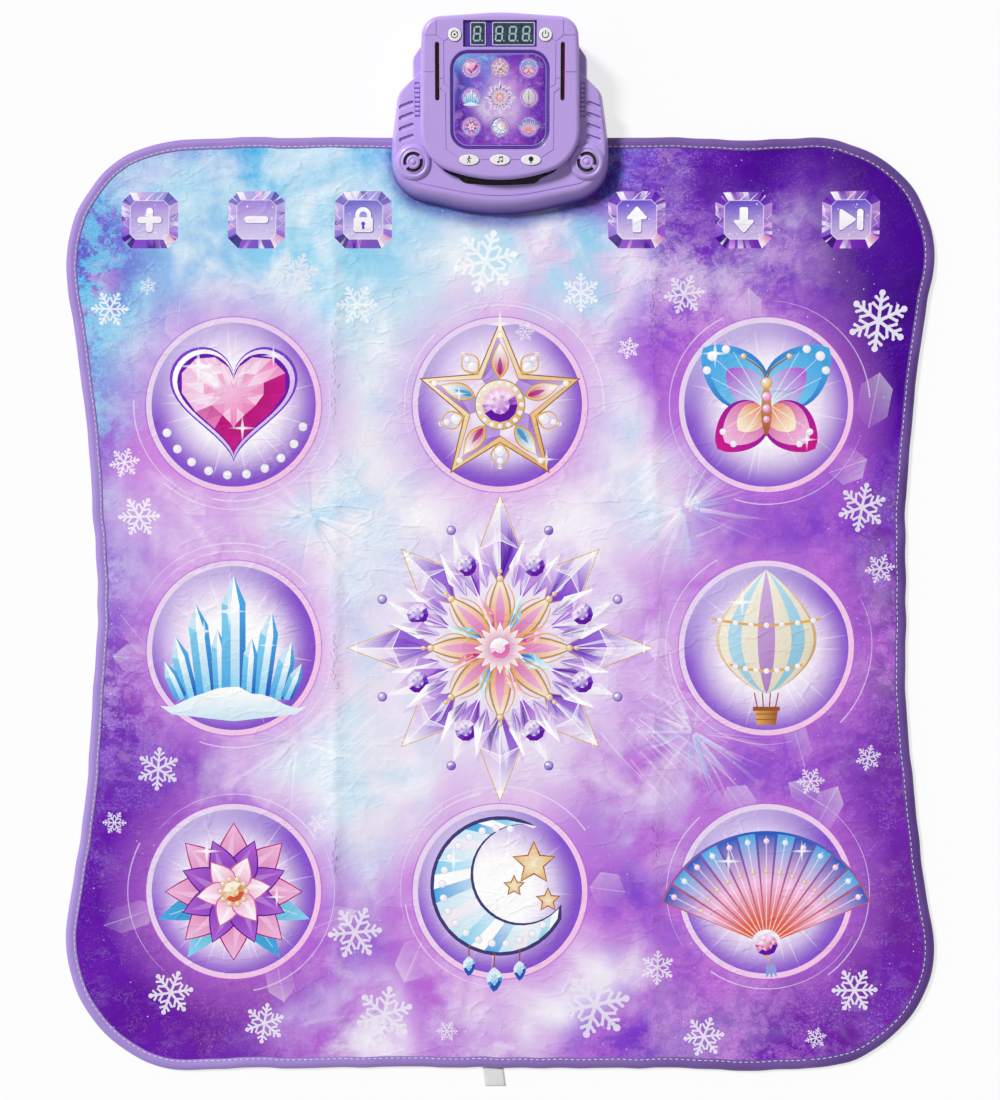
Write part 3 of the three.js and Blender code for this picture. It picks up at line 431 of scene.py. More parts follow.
def lie(x, y):
    """The height of the mat's top over its flat place."""
    height = np.zeros_like(x)
    for place, rise, seed in crease_places:
        offset = x - crease_line(y, place, seed)
        strength = rise * (0.6 + 0.4 * smooth_noise(y, y * 0, crease_fade_length, seed + 2))
        for share, centre, width in ((0.7, 0, crease_width), (0.8, 0, crease_spread),
                                     (-0.3, 2.4 * crease_width, 1.6 * crease_width)):
            height += share * strength * np.exp(-((offset - centre) / width) ** 2)
    for turn, stretch, seed in wrinkle_runs:
        spot = turned(np.column_stack([x, y]), turn)
        ridge = 1 - np.abs(smooth_noise(spot[:, 0] / stretch, spot[:, 1], wrinkle_size, seed))
        patch = smoothstep(smooth_noise(x, y, wrinkle_patch_size, seed + 10), -0.15, 0.7)
        height += wrinkle_height * patch * ridge ** 5
    height += crinkle_height * smooth_noise(x, y, crinkle_size, 41)
    height += 0.5 * crinkle_height * smooth_noise(x, y, crinkle_size * 2.3, 42)
    height = np.maximum(height + crinkle_height, lowest_lie)
    calm = smoothstep(edge_distance(x, y), calm_from, calm_margin)
    gap_x = np.maximum(np.abs(x) - console_high[0], 0)
    gap_y = np.maximum(console_low[1] - y, 0)
    clear = smoothstep(np.hypot(gap_x, gap_y), console_gap, console_margin)
    return height * calm * clear


def pad_swell(distance):
    return pad_rise * smoothstep(pad_radius - distance, 0, pad_swell_width)


def sway(points):
    """Moves places near the rim a little, as cloth lies that isn't quite straight."""
    points = np.array(points, float)
    x, y = points.T.copy()
    near = 1 - smoothstep(edge_distance(x, y), 0, rim_reach)
    free = smoothstep(np.abs(x), *steady_span) + smoothstep(-y, *steady_rear)
    near = near * np.clip(free, 0, 1)
    for reach, sizes, seed in ((rim_sway * near, sway_sizes, 51), (rim_ripple * near ** 6, ripple_sizes, 53)):
        for axis, along in enumerate((y, x)):
            points[:, axis] += reach * smooth_noise(along, along * 0, sizes[axis], seed + axis)
    return points


# Print colours

palette = {name: linear_colour(rgb) for name, rgb in {
    "white": (255, 255, 255), "mist": (236, 232, 243), "ice": (204, 232, 246),
    "sky": (136, 212, 242), "azure": (74, 168, 228), "ocean": (38, 92, 190),
    "lilac": (208, 168, 232), "orchid": (180, 100, 212), "violet": (124, 62, 202),
    "grape": (104, 24, 172), "indigo": (70, 2, 144), "night": (44, 6, 104),
    "rose": (243, 190, 226), "pink": (238, 122, 190), "magenta": (204, 26, 138),
    "gold": (226, 176, 92), "bronze": (158, 84, 40), "cream": (250, 238, 208),
    "flame": (226, 96, 58), "teal": (40, 150, 176), "slate": (66, 60, 118),
    "periwinkle": (112, 116, 222), "aqua": (62, 194, 240), "haze": (224, 200, 238),
    "plum": (110, 36, 152), "royal": (84, 4, 158), "glow": (214, 130, 226),
    "iris": (98, 70, 202), "wisteria": (160, 112, 216), "amethyst": (146, 60, 212),
}.items()}


def toned(colour, light):
    """The colour made lighter, up to 1, or darker, down to -1."""
    base = np.array(palette[colour] if isinstance(colour, str) else colour)
    goal = np.ones(3) if light > 0 else np.zeros(3)
    return tuple(base + (goal - base) * abs(light))


def blended(share, first, last, first_cover=1.0, last_cover=1.0):
    ends = [np.array([*toned(colour, 0), cover])
            for colour, cover in ((first, first_cover), (last, last_cover))]
    return ends[0] + (ends[1] - ends[0]) * np.clip(share, 0, 1)[:, None]


def flat(colour, cover=1.0):
    return lambda places: blended(np.zeros(len(places)), colour, colour, cover, cover)


def across(start, end, first, last, *covers):
    start, way = np.array(start, float), np.subtract(end, start)
    return lambda places: blended((places - start) @ way / (way @ way), first, last, *covers)


def around(centre, inner, outer, first, last, *covers):
    return lambda places: blended(
        (np.hypot(*(places - np.array(centre)).T) - inner) / (outer - inner), first, last, *covers)


class Print:
    """Shapes in the order in which they are printed. A set of shapes covers each place once."""

    def __init__(self):
        self.outlines = []
        self.paints = []
        self.sets = []
        self.at((0, 0))

    def at(self, centre, scale=1.0, turn=0.0, single_set=False):
        self.centre, self.scale, self.turn = np.array(centre, float), scale, turn
        self.set = len(self.outlines) if single_set else None
        return self

    def add(self, outline, paint):
        if not callable(paint):
            paint = flat(paint)
        outline = np.asarray(outline, float)
        x, y = outline.T
        if x @ np.roll(y, -1) - y @ np.roll(x, -1) < 0:
            outline = outline[::-1]
        centre, scale, turn = self.centre, self.scale, self.turn
        self.outlines.append(turned(outline * scale, turn) + centre)
        self.paints.append(lambda places: paint(turned((places - centre) / scale, -turn)))
        self.sets.append(len(self.paints) if self.set is None else -1 - self.set)


area_slack = 0.02


def polygon_area(x, y):
    return 0.5 * abs((x * np.roll(y, -1, axis=0) - y * np.roll(x, -1, axis=0)).sum(axis=0))


def encloses(outline, spots):
    """Which of the spots lie inside the outline."""
    near = np.flatnonzero(((spots >= outline.min(axis=0)) & (spots <= outline.max(axis=0))).all(axis=1))
    x, y = spots[near].T
    inside = np.zeros(len(near), bool)
    for (x1, y1), (x2, y2) in zip(outline, np.roll(outline, -1, axis=0)):
        if y1 != y2:
            inside ^= ((y1 > y) != (y2 > y)) & (x < (x2 - x1) * (y - y1) / (y2 - y1) + x1)
    found = np.zeros(len(spots), bool)
    found[near[inside]] = True
    return found


meeting_gap = 1e-4


def divided(outlines, spread=None):
    """Splits the space inside the first outline along the others. Gives the points, the faces
    and the outlines that each face lies in."""
    cells, start = [], 0
    for outline in outlines:
        cells.append(list(range(start, start + len(outline))))
        start += len(outline)
    points = np.vstack(outlines if spread is None else [*outlines, spread])
    made = delaunay_2d_cdt([Vector(point) for point in points], [], cells, 1, meeting_gap)
    inside = [(face, owner) for face, owner in zip(made[2], made[5]) if 0 in owner]
    return np.array([tuple(point) for point in made[0]]), *zip(*inside)


def printed_map(prints, rim, cells, spread):
    """Splits the space inside the rim along every outline of a print. Gives the points, the
    triangles, the ink at each triangle's corners and the cell that each triangle lies in."""
    outlines = [rim, *cells, *prints.outlines]
    places, triangles, owners = divided(outlines, spread)
    triangles = np.array(triangles)
    ink = np.zeros((len(triangles), 3, 4))
    cell = np.full(len(triangles), -1)
    members = [[] for _ in outlines]
    for triangle, owner in enumerate(owners):
        for outline in owner:
            members[outline].append(triangle)
    corners = places[triangles]
    areas = polygon_area(corners[..., 0].T, corners[..., 1].T)
    middles = corners.mean(axis=1)
    for index, outline in enumerate(outlines[1:], 1):
        members[index] = np.array(members[index], int)
        area = polygon_area(*outline.T)
        if abs(areas[members[index]].sum() - area) > area_slack * area:
            members[index] = np.flatnonzero(encloses(outline, middles))
    for index in range(len(cells)):
        cell[members[1 + index]] = index
    first = 1 + len(cells)
    last_set = np.zeros(len(triangles), int)
    for index, paint in enumerate(prints.paints):
        chosen = members[first + index]
        chosen = chosen[last_set[chosen] != prints.sets[index]]
        if not len(chosen):
            continue
        last_set[chosen] = prints.sets[index]
        corners = places[triangles[chosen]].reshape(-1, 2)
        new = paint(corners).reshape(-1, 3, 4)
        cover, old = new[..., 3:], ink[chosen]
        total = cover + old[..., 3:] * (1 - cover)
        mixed = new[..., :3] * cover + old[..., :3] * old[..., 3:] * (1 - cover)
        ink[chosen] = np.concatenate([mixed / np.maximum(total, 1e-6), total], axis=2)
    return places, triangles, ink, cell


def add_ink(made, ink):
    attribute = made.data.attributes.new("ink", "FLOAT_COLOR", "CORNER")
    attribute.data.foreach_set("color", ink.astype(np.float32).ravel())


# Figures of the print: each draws in its own frame, about 80 across unless it says otherwise


petal_steps = 18
gem_light = 120


def tip_of(length, angle):
    """The place that far from the centre in that direction."""
    return turned([(length, 0)], angle)[0]


def petal(length, width, turn, start=0.0, point=1.0):
    """A leaf shape that starts at the centre and points along the turn."""
    share = np.linspace(0, 1, petal_steps)
    half = width / 2 * np.sin(math.pi * share ** 0.8) ** point
    side = np.column_stack([start + length * share, half])
    outline = np.vstack([side, (side * [1, -1])[::-1][1:-1]])
    return turned(outline, turn)


def star_outline(arms, outer, inner):
    radii = np.tile([outer, inner], arms)
    angles = np.radians(90 + np.arange(2 * arms) * 180 / arms)
    return np.column_stack([radii * np.cos(angles), radii * np.sin(angles)])


def glints(art, *stars):
    """Small stars of light with four rays, each given as its place and its reach."""
    for x, y, size in stars:
        art.add(star_outline(4, size, size * 0.14) + (x, y),
                around((x, y), 0, size, "white", "white", 0.95, 0.1))


def facets(art, outline, table_share, light, mid, dark, seed):
    """A cut stone: sloping faces between its outline and a flat table."""
    outline = np.asarray(outline, float)
    middle = outline.mean(axis=0)
    table = middle + (outline - middle) * table_share
    sparkle = np.random.default_rng(seed).uniform(-0.3, 0.3, len(outline))
    for index, here in enumerate(outline):
        after = (index + 1) % len(outline)
        halfway = (here + outline[after]) / 2
        way = halfway - middle
        facing = math.cos(math.atan2(way[1], way[0]) - math.radians(gem_light)) + sparkle[index]
        tone = toned(light if facing > 0.35 else mid if facing > -0.3 else dark, 0)
        paint = across(here, table[after], tone, toned(tone, 0.35 if facing > 0 else -0.25))
        art.add([here, outline[after], table[after], table[index]], paint)
        art.add([table[index], halfway, table[after]],
                flat("white" if facing > 0 else toned(dark, -0.2), 0.22 + abs(sparkle[index])))
    way = tip_of(np.hypot(*(table - middle).T).max(), gem_light)
    art.add(table, across(middle + way, middle - way, toned(light, 0.45), mid))
    for index, here in enumerate(table):
        after = table[(index + 1) % len(table)]
        inner = middle + ((here + after) / 2 - middle) * 0.5
        tone, cover = (toned(light, 0.7), 0.5) if index % 2 else (mid, 0.45)
        art.add([here, after, inner], flat(tone, cover))


def bead(art, centre, radius, colour, steps=20):
    art.add(circle(centre, radius, steps), toned(colour, -0.35))
    lit = np.add(centre, (-radius * 0.3, radius * 0.32))
    art.add(circle(centre, radius * 0.9, steps), around(lit, 0, radius * 1.3, toned(colour, 0.75), colour))
    art.add(circle(lit, radius * 0.26, 10), flat("white", 0.9))


def scrolls(art, along, foot, bulge, angle, width, taper):
    """Two curved gold lines, one on each side of a direction."""
    curl = np.column_stack([along, foot + bulge * np.sin(np.linspace(0, math.pi, len(along)))])
    for side in (-1, 1):
        art.add(stroke(turned(curl * (1, side), angle), width, taper), "gold")


def heart_outline(step, start=0):
    angles = np.radians(np.arange(start, start + 360, step))
    return np.column_stack([
        16 * np.sin(angles) ** 3,
        13 * np.cos(angles) - 5 * np.cos(2 * angles) - 2 * np.cos(3 * angles) - np.cos(4 * angles) + 2.5])


def heart_gem(art):
    rim = heart_outline(5)
    art.add(rim * 2.72, "violet")
    art.add(rim * 2.6, across((-30, 30), (30, -30), "white", "lilac"))
    art.add(rim * 2.4, "grape")
    facets(art, heart_outline(18, 9) * 2.28, 0.58, "rose", "pink", "magenta", seed=3)
    art.add(petal(24, 8, 128) + (-9, 11), flat("white", 0.5))
    for angle in range(205, 341, 15):
        bead(art, tip_of(50, angle) + (0, 2), 3.1, "mist")
    glints(art, (-24, 26, 15), (27, 33, 9), (6, -16, 10))


def star_gem(art):
    art.add(star_outline(5, 62, 28), "bronze")
    art.add(star_outline(5, 60, 27), across((-40, 40), (40, -40), "cream", "gold"))
    art.add(star_outline(5, 55, 23.4), toned("gold", -0.4))
    corners = star_outline(5, 54, 22.6)
    for index in range(0, 10, 2):
        before, here, after = corners[index - 1], corners[index], corners[index + 1]
        art.add([(0, 0), before, here], across((0, 0), here, "white", "lilac"))
        art.add([(0, 0), here, after], across((0, 0), here, "wisteria", "haze"))
        art.add([here * 0.62, before, here], across(before, here, "rose", "white", 0.8, 0.6))
        art.add([here * 0.62, here, after], across(after, here, "violet", "lilac", 0.7, 0.7))
    for index in range(5):
        angle = 90 + 72 * index
        drop = "azure" if index % 2 else "magenta"
        art.add(petal(27, 13, angle, 19), toned("gold", -0.3))
        art.add(petal(26, 11.4, angle, 19.5), across(tip_of(20, angle), tip_of(46, angle), "gold", "cream"))
        art.add(petal(22.5, 8.2, angle, 21), across(tip_of(22, angle), tip_of(42, angle), drop, "white"))
        art.add(petal(13, 3.6, angle, 22), flat(toned(drop, -0.4), 0.8))
        for size, reach in ((4.4, 34), (2.6, 41), (1.8, 45.6)):
            bead(art, tip_of(reach, angle + 36), size, "mist")
        scrolls(art, np.linspace(28, 46, 9), 0, 6.5, angle + 36, 1.7, 0.4)
        bead(art, tip_of(50.5, angle), 2.4, "cream")
    art.add(circle((0, 0), 18.6, 40), toned("gold", -0.35))
    art.add(circle((0, 0), 17.8, 40), across((-12, 12), (12, -12), "cream", "gold"))
    for index in range(16):
        bead(art, tip_of(15.8, index * 22.5), 2.0, "mist", 12)
    facets(art, circle((0, 0), 13, 12), 0.55, "rose", "orchid", "grape", seed=5)
    glints(art, (0, 59, 13), (-30, 8, 8), (34, -40, 9))


def butterfly(art):
    for side in (-1, 1):
        flip = np.array([side, 1])
        for length, width, angle, shrink, first, last in (
                (60, 42, 42, 1, "ocean", "azure"), (60, 42, 42, 0.86, "sky", "azure"),
                (60, 42, 42, 0.6, "ice", "orchid"), (46, 36, -42, 1, "grape", "magenta"),
                (46, 36, -42, 0.84, "magenta", "rose"), (46, 36, -42, 0.55, "flame", "cream")):
            wing = petal(length * shrink, width * shrink, angle, 3, 0.62)
            tip = tip_of(length * shrink, angle)
            art.add(wing * flip, across((0, 0), tip * flip, first, last))
        for angle, reach, size in ((30, 51, 3.2), (42, 54, 3.8), (54, 51, 3.2), (-32, 38, 2.6),
                                   (-50, 38, 2.6)):
            bead(art, tip_of(reach, angle) * flip, size, "mist")
        for angle, reach in ((26, 46), (42, 50), (58, 46), (-30, 34), (-54, 34)):
            line = np.array([(2, 0), tip_of(reach, angle)]) * flip
            art.add(stroke(even_steps(line, 12, False), 1.0, taper=0.4), flat("white", 0.55))
        feeler = np.column_stack([np.linspace(0, 17, 9), 18 + 17 * np.sqrt(np.linspace(0, 1, 9))])
        art.add(stroke(feeler * flip, 1.3, taper=0.6), "bronze")
        bead(art, np.array((17, 36)) * flip, 2.2, "gold")
    art.add(petal(46, 8, 90, -24), across((0, 22), (0, -24), "gold", "bronze"))
    for height, size in ((16, 4.4), (6, 3.8), (-3, 3.4), (-11, 2.8)):
        bead(art, (0, height), size, "gold" if size > 4 else "pink")
    glints(art, (-38, 38, 12), (30, -26, 9))


def crystal_cluster(art):
    columns = [(-31, 30, 12, 14), (31, 26, 12, -15), (-19, 50, 14, 7), (19, 45, 13, -8), (-9, 36, 10, 3),
               (0, 66, 17, 0), (10, 30, 10, -4), (-38, 17, 9, 24), (38, 15, 9, -24)]
    for x, height, width, lean in columns:
        foot, shoulder = -34, height - 34
        ridges = [(-0.5, 0), (-0.125, -3), (0.25, -2), (0.5, 0)]
        low = [(share * width, foot + drop) for share, drop in ridges]
        high = [(share * width, shoulder + drop) for share, drop in ridges]
        tip = (0, shoulder + width * 1.15)
        shapes = [[low[side], low[side + 1], high[side + 1], high[side]] for side in range(3)]
        shapes += [[high[side], high[side + 1], tip] for side in range(3)]
        tones = [("sky", "azure"), ("white", "sky"), ("azure", "ocean"), ("ice", "azure"), ("white", "ice"),
                 ("azure", "slate")]
        for outline, (first, last) in zip(shapes, tones):
            shape = turned(np.array(outline) - (0, foot), lean) + (x, foot)
            art.add(shape, across((x, shoulder), (x, foot), first, last))
    rng = np.random.default_rng(9)
    snow = [(x, -36 + 7 * math.cos(x / 19) + rng.uniform(-2, 2)) for x in range(-52, 53, 8)]
    art.add([*snow, (44, -47), (0, -52), (-44, -47)], across((0, -30), (0, -52), "white", "ice"))
    glints(art, (-3, 26, 14), (-21, 12, 9), (24, 2, 8))


def balloon(art):
    share = np.linspace(0, 1, 26)
    half = 40 * np.sin(math.pi * share ** 1.25) ** 0.72 * (1 - 0.12 * share)
    heights = 58 - 92 * share
    tones = ["gold", "cream", "sky", "cream", "orchid", "cream", "sky", "cream", "gold"]
    edges = np.sin(np.radians(np.linspace(-90, 90, len(tones) + 1)))
    for index, tone in enumerate(tones):
        left = np.column_stack([half * edges[index], heights])
        right = np.column_stack([half * edges[index + 1], heights])
        art.add(np.vstack([left, right[::-1]]) + (0, 0.02 * index),
                across((-40, 40), (44, -30), toned(tone, 0.45), toned(tone, -0.28)))
    for height, reach in ((22, 40.4), (-12, 27)):
        sag = 5 * np.cos(np.linspace(-1.5, 1.5, 15))
        band = np.column_stack([np.linspace(-reach, reach, 15), height - sag])
        art.add(stroke(band, 2.0), "gold")
        for spot in band[1:-1:2]:
            bead(art, spot, 2.2, "mist")
    for x in (-9, -3, 3, 9):
        art.add(stroke([(x, -33), (x * 0.75, -44)], 0.9), "bronze")
    art.add([(-9, -44), (9, -44), (7, -57), (-7, -57)], across((-9, 0), (9, 0), "gold", "bronze"))
    art.add(rectangle((0, -45), 20, 3), "bronze")
    for row in (-49, -53):
        art.add(rectangle((0, row), 15.5, 0.9), flat("bronze", 0.8))
    glints(art, (-18, 34, 13))


def bloom(art):
    for index, angle in enumerate((200, 235, 305, 340)):
        tip = tip_of(56, angle)
        art.add(petal(56, 20, angle, 4), across((0, 0), tip, "teal", "sky" if index % 2 else "azure"))
        art.add(stroke([(0, 0), tip * 0.9], 1.1, taper=0.4), flat("white", 0.6))
    for count, length, width, first, last, phase in (
            (8, 50, 25, "magenta", "rose", 0), (8, 40, 20, "grape", "orchid", 22.5),
            (6, 27, 16, "pink", "white", 8)):
        for index in range(count):
            angle = phase + index * 360 / count
            tip = tip_of(length, angle)
            art.add(petal(length + 1.2, width + 2, angle), toned(first, -0.3))
            art.add(petal(length, width, angle), across((0, 0), tip, first, last))
            half = petal(length * 0.9, width * 0.5, angle)[:petal_steps]
            art.add(half, across((0, 0), tip, toned(last, 0.5), last, 0.2, 0.8))
    for index in range(10):
        bead(art, tip_of(9.5, 36 * index), 2.3, "gold")
    facets(art, circle((0, 0), 8, 8), 0.5, "cream", "gold", "flame", seed=2)
    glints(art, (-20, 30, 12), (32, -4, 9))


def moon(art):
    pieces, radius, centre = 22, 47, (0, 4)
    outer = arc(centre, radius, 60, 330, pieces)
    inner = arc((15, 12), 36, 318, 72, pieces)
    art.add(np.vstack([arc(centre, 49.5, 58, 332, 40), arc((16, 12.6), 35, 322, 70, 30)]), "slate")
    tones = ("mist", "ice", "sky", "white", "azure", "ice")
    for index in range(pieces):
        quad = [outer[index], outer[index + 1], inner[pieces - 1 - index], inner[pieces - index]]
        tone = tones[index % len(tones)]
        art.add(quad, across(quad[0], quad[3], tone, toned(tone, 0.5)))
    for x, drop, size in ((-22, 26, 6), (-4, 34, 7.5), (14, 26, 6)):
        top = -math.sqrt(radius ** 2 - x ** 2) + centre[1]
        art.add(stroke([(x, top), (x, top - drop * 0.4)], 0.9), "bronze")
        stone = petal(size * 2.5, size * 1.5, 270)[::3] + (x, top - drop * 0.32)
        facets(art, stone, 0.5, "ice", "azure", "ocean", seed=int(size))
    for angle in range(80, 330, 14):
        bead(art, tip_of(41, angle) + centre, 2.7, "mist")
    for spot, size in (((24, 20), 15), ((34, -6), 8), ((10, 4), 7)):
        art.add(star_outline(5, size + 1.2, size * 0.46 + 0.8) + spot, "bronze")
        art.add(star_outline(5, size, size * 0.44) + spot, around(spot, 0, size, "cream", "gold"))
    glints(art, (-33, 22, 12))


def folding_fan(art):
    blades, low, high, pivot = 13, 22, 158, np.array((0, -42))
    step = (high - low) / blades

    def blade(angle, half, start, end, steps):
        return np.vstack([arc(pivot, start, angle + half, angle - half, steps),
                          arc(pivot, end, angle - half, angle + half, 4)])

    for index in range(blades):
        angle, half = low + step * (index + 0.5), step / 2
        inner = half * 0.86
        art.add(blade(angle, half, 12, 90, 1), across(pivot, pivot + (0, 90), "flame", "ocean"))
        art.add(blade(angle, inner, 12, 88, 1), around(pivot, 20, 50, "flame", "rose"))
        art.add(blade(angle, inner, 50, 88, 2),
                around(pivot, 50, 88, "rose", "azure" if index % 2 else "ocean"))
        line = np.array([pivot + tip_of(12, angle), pivot + tip_of(86, angle)])
        art.add(stroke(line, 0.9), flat("white", 0.5))
        bead(art, pivot + tip_of(82, angle), 2.4, "ice" if index % 2 else "rose")
        bead(art, pivot + tip_of(58, angle), 1.7, "gold")
    facets(art, circle(pivot, 9, 8), 0.55, "rose", "magenta", "grape", seed=4)
    art.add(stroke([pivot + (0, -8), pivot + (3, -15)], 1.4), "gold")
    for turn in (-16, 0, 16):
        art.add(petal(15, 4, 275 + turn) + pivot + (3, -12), across((0, -40), (0, -70), "pink", "azure"))
    glints(art, (-30, 24, 12), (28, 32, 10))


def kite(art, start, end, width, angle, tones, widest=0.42, edge=None):
    """A long cut crystal, deep in tone at its foot and clear at its tip, with a metal edge if one
    is given. It points away from the centre."""
    length = end - start
    middle = start + length * widest
    light, mid, dark = tones

    def at(*spots):
        return turned(spots, angle)

    if edge:
        art.add(at((start - 1, 0), (middle, width / 2 + 1.5), (end + 3.5, 0), (middle, -width / 2 - 1.5)),
                toned(edge, -0.4))
        art.add(at((start, 0), (middle, width / 2 + 0.9), (end + 2.4, 0), (middle, -width / 2 - 0.9)),
                across(tip_of(start, angle), tip_of(end, angle), edge, "cream"))
    foot, left, top, right, ridge = at(
        (start, 0), (middle, width / 2), (end, 0), (middle, -width / 2), (middle + length * 0.1, 0))
    art.add([foot, left, top, right], toned(dark, -0.25))
    lit = math.cos(math.radians(angle - gem_light)) > 0
    near, far = (light, mid) if lit else (mid, light)
    for face, first, last in (
            ([foot, left, ridge], dark, near), ([foot, ridge, right], dark, far),
            ([left, top, ridge], near, "white"), ([ridge, top, right], far, toned(light, 0.7))):
        art.add(face, across(face[0], face[1], first, last))
    rng = np.random.default_rng(round(angle * 4) + round(length))
    for _ in range(7):
        reach, lean, thick = rng.uniform(0.3, 0.75), rng.uniform(-0.3, 0.3), rng.uniform(0.04, 0.12)
        spots = ((0.06, 0), (reach * 0.7, lean + thick), (reach, lean), (reach * 0.6, lean - thick))
        shard = at(*((start + length * share, width * side) for share, side in spots))
        tone = (dark, mid, "white", dark, "indigo")[rng.integers(5)]
        art.add(shard, across(shard[0], shard[2], tone, tone, 0.75, 0.3))
    art.add([left, ridge, right, at((middle + length * 0.2, 0))[0]], flat("white", 0.35))
    for line, thick in (((foot, top), 0.04), ((left, ridge), 0.03), ((ridge, right), 0.03)):
        art.add(stroke(line, width * thick, taper=0.4), flat("white", 0.8))


def rosette(art):
    """The eight-sided ornament in the middle, about 145 in radius."""
    art.add(circle((0, 0), 150, 60), around((0, 0), 60, 150, "white", "lilac", 0.75, 0.0))
    for index in range(16):
        art.add(petal(96, 24, 11.25 + index * 22.5, 18), flat("lilac", 0.35))
    for index in range(8):
        angle = index * 45
        kite(art, 60, 145 if index % 2 == 0 else 132, 38, angle, ("haze", "wisteria", "violet"), edge="gold")
        for side in (-1, 1):
            kite(art, 58, 108, 17, angle + side * 12.5, ("white", "lilac", "wisteria"))
        kite(art, 50, 118, 26, angle + 22.5, ("mist", "lilac", "amethyst"), 0.5)
        bead(art, tip_of(123, angle + 22.5), 4.6, "violet")
        stone = circle(tip_of(86, angle + 22.5), 10.5, 10)
        facets(art, stone, 0.55, "haze", "violet", "grape", seed=index % 2)
    for index in range(8):
        angle = index * 45
        tones = ("ice", "sky", "ocean") if index % 2 else ("rose", "pink", "magenta")
        art.add(petal(62, 22, angle, 10), toned("gold", -0.35))
        art.add(petal(60, 18, angle, 10), across((0, 0), tip_of(66, angle), "flame", "cream"))
        art.add(petal(44, 9, angle, 16), across((0, 0), tip_of(60, angle), "magenta", "rose"))
        kite(art, 14, 58, 15, angle + 22.5, tones)
        for reach, size in ((67, 3.4), (74, 2.4)):
            bead(art, tip_of(reach, angle), size, "gold")
        scrolls(art, np.linspace(26, 62, 10), 7, 7, angle, 1.8, 0.5)
    for index in range(16):
        art.add(petal(20, 7, index * 22.5, 5), across((0, 0), tip_of(24, index * 22.5), "magenta", "white"))
    facets(art, circle((0, 0), 10, 12), 0.5, "white", "rose", "pink", seed=8)
    for index in range(8):
        glints(art, (*tip_of(139 if index % 2 == 0 else 126, index * 45), 9))


solid_cover = 0.8
flake_arms, flake_branches = 6, 2


def flake(art, centre, radius, turn, cover):
    art.at(centre, radius / 10, turn, single_set=True)
    paint = flat("white" if cover < solid_cover else "mist", cover)
    art.add(circle((0, 0), 1.5, 6), paint)
    for arm in range(flake_arms):
        angle = 360 / flake_arms * arm
        spine = turned([(1, 0), (9.4, 0)], angle)
        art.add(stroke(spine, 1.15), paint)
        art.add(circle(spine[1], 1.15, 8), paint)
        for branch in range(flake_branches):
            place, length = 3.6 + 2.7 * branch, 3.3 - 0.8 * branch
            for side in (-1, 1):
                twig = turned([(place, 0), (place + length * 0.62, side * length * 0.78)], angle)
                art.add(stroke(twig, 0.95), paint)
                art.add(circle(twig[1], 0.62, 7), paint)
    art.at((0, 0))


# The marks of the touch pads, about 26 across


def mark_plus(shape):
    shape(rounded_rectangle((0, 0), 27, 7.4, 3.4, 5))
    shape(rounded_rectangle((0, 0), 7.4, 27, 3.4, 5))


def mark_minus(shape):
    shape(rounded_rectangle((0, 0), 26, 7.4, 3.4, 5))


def mark_lock(shape):
    shape(rounded_rectangle((0, -5.5), 21, 16, 2.6, 3))
    bow = np.vstack([[(-6.6, 0)], arc((0, 5), 6.6, 180, 0, 14), [(6.6, 0)]])
    shape(stroke(bow, 4.0))


def mark_arrow(shape, turn):
    shape(turned(rounded_rectangle((0, -6), 9.4, 16, 2.2, 3), turn))
    head = np.vstack([arc((-9.4, 1.8), 1.6, 120, 270, 4), arc((9.4, 1.8), 1.6, -90, 60, 4),
                      arc((0, 12.2), 1.8, 50, 130, 4)])
    shape(turned(head, turn))


def mark_up(shape):
    mark_arrow(shape, 0)


def mark_down(shape):
    mark_arrow(shape, 180)


def mark_play(shape):
    left, tip, reach, soft = -12.5, 5.2, 9.6, 1.8
    shape(np.vstack([arc((left + soft, -reach), soft, 180, 300, 4), arc((tip - soft, 0), soft, -55, 55, 4),
                     arc((left + soft, reach), soft, 60, 180, 4)]))
    shape(rounded_rectangle((10.2, 0), 6.2, 23, 2.6, 4))


touch_marks = {"plus": mark_plus, "minus": mark_minus, "lock": mark_lock, "up": mark_up,
               "down": mark_down, "play": mark_play}
mark_layers = [  # shift, growth and ink of a mark's shadow, body and face
    ((0.5, -0.6), 0.93, flat("indigo", 0.6)), ((0, 0), 0.88, flat("white")),
    ((0, 0), 0.82, across((0, 13), (0, -13), "white", "mist"))]
tile_cut = tile_half * 0.36


def cut_square(half, cut):
    corner = half - cut
    return np.array([(-corner, -half), (corner, -half), (half, -corner), (half, corner),
                     (corner, half), (-corner, half), (-half, corner), (-half, -corner)])


tile_facets = [  # first and last colour and cover, from the front edge anticlockwise
    ("amethyst", "grape", 0.9, 0.85), ("white", "pink", 0.95, 0.75), ("amethyst", "lilac", 0.85, 0.7),
    ("violet", "indigo", 0.8, 0.85), ("violet", "lilac", 0.6, 0.75), ("violet", "grape", 0.8, 0.75),
    ("lilac", "violet", 0.8, 0.8), ("indigo", "night", 0.95, 0.9),
]
tile_table_share = 0.68
pale_tiles_left_of = -200


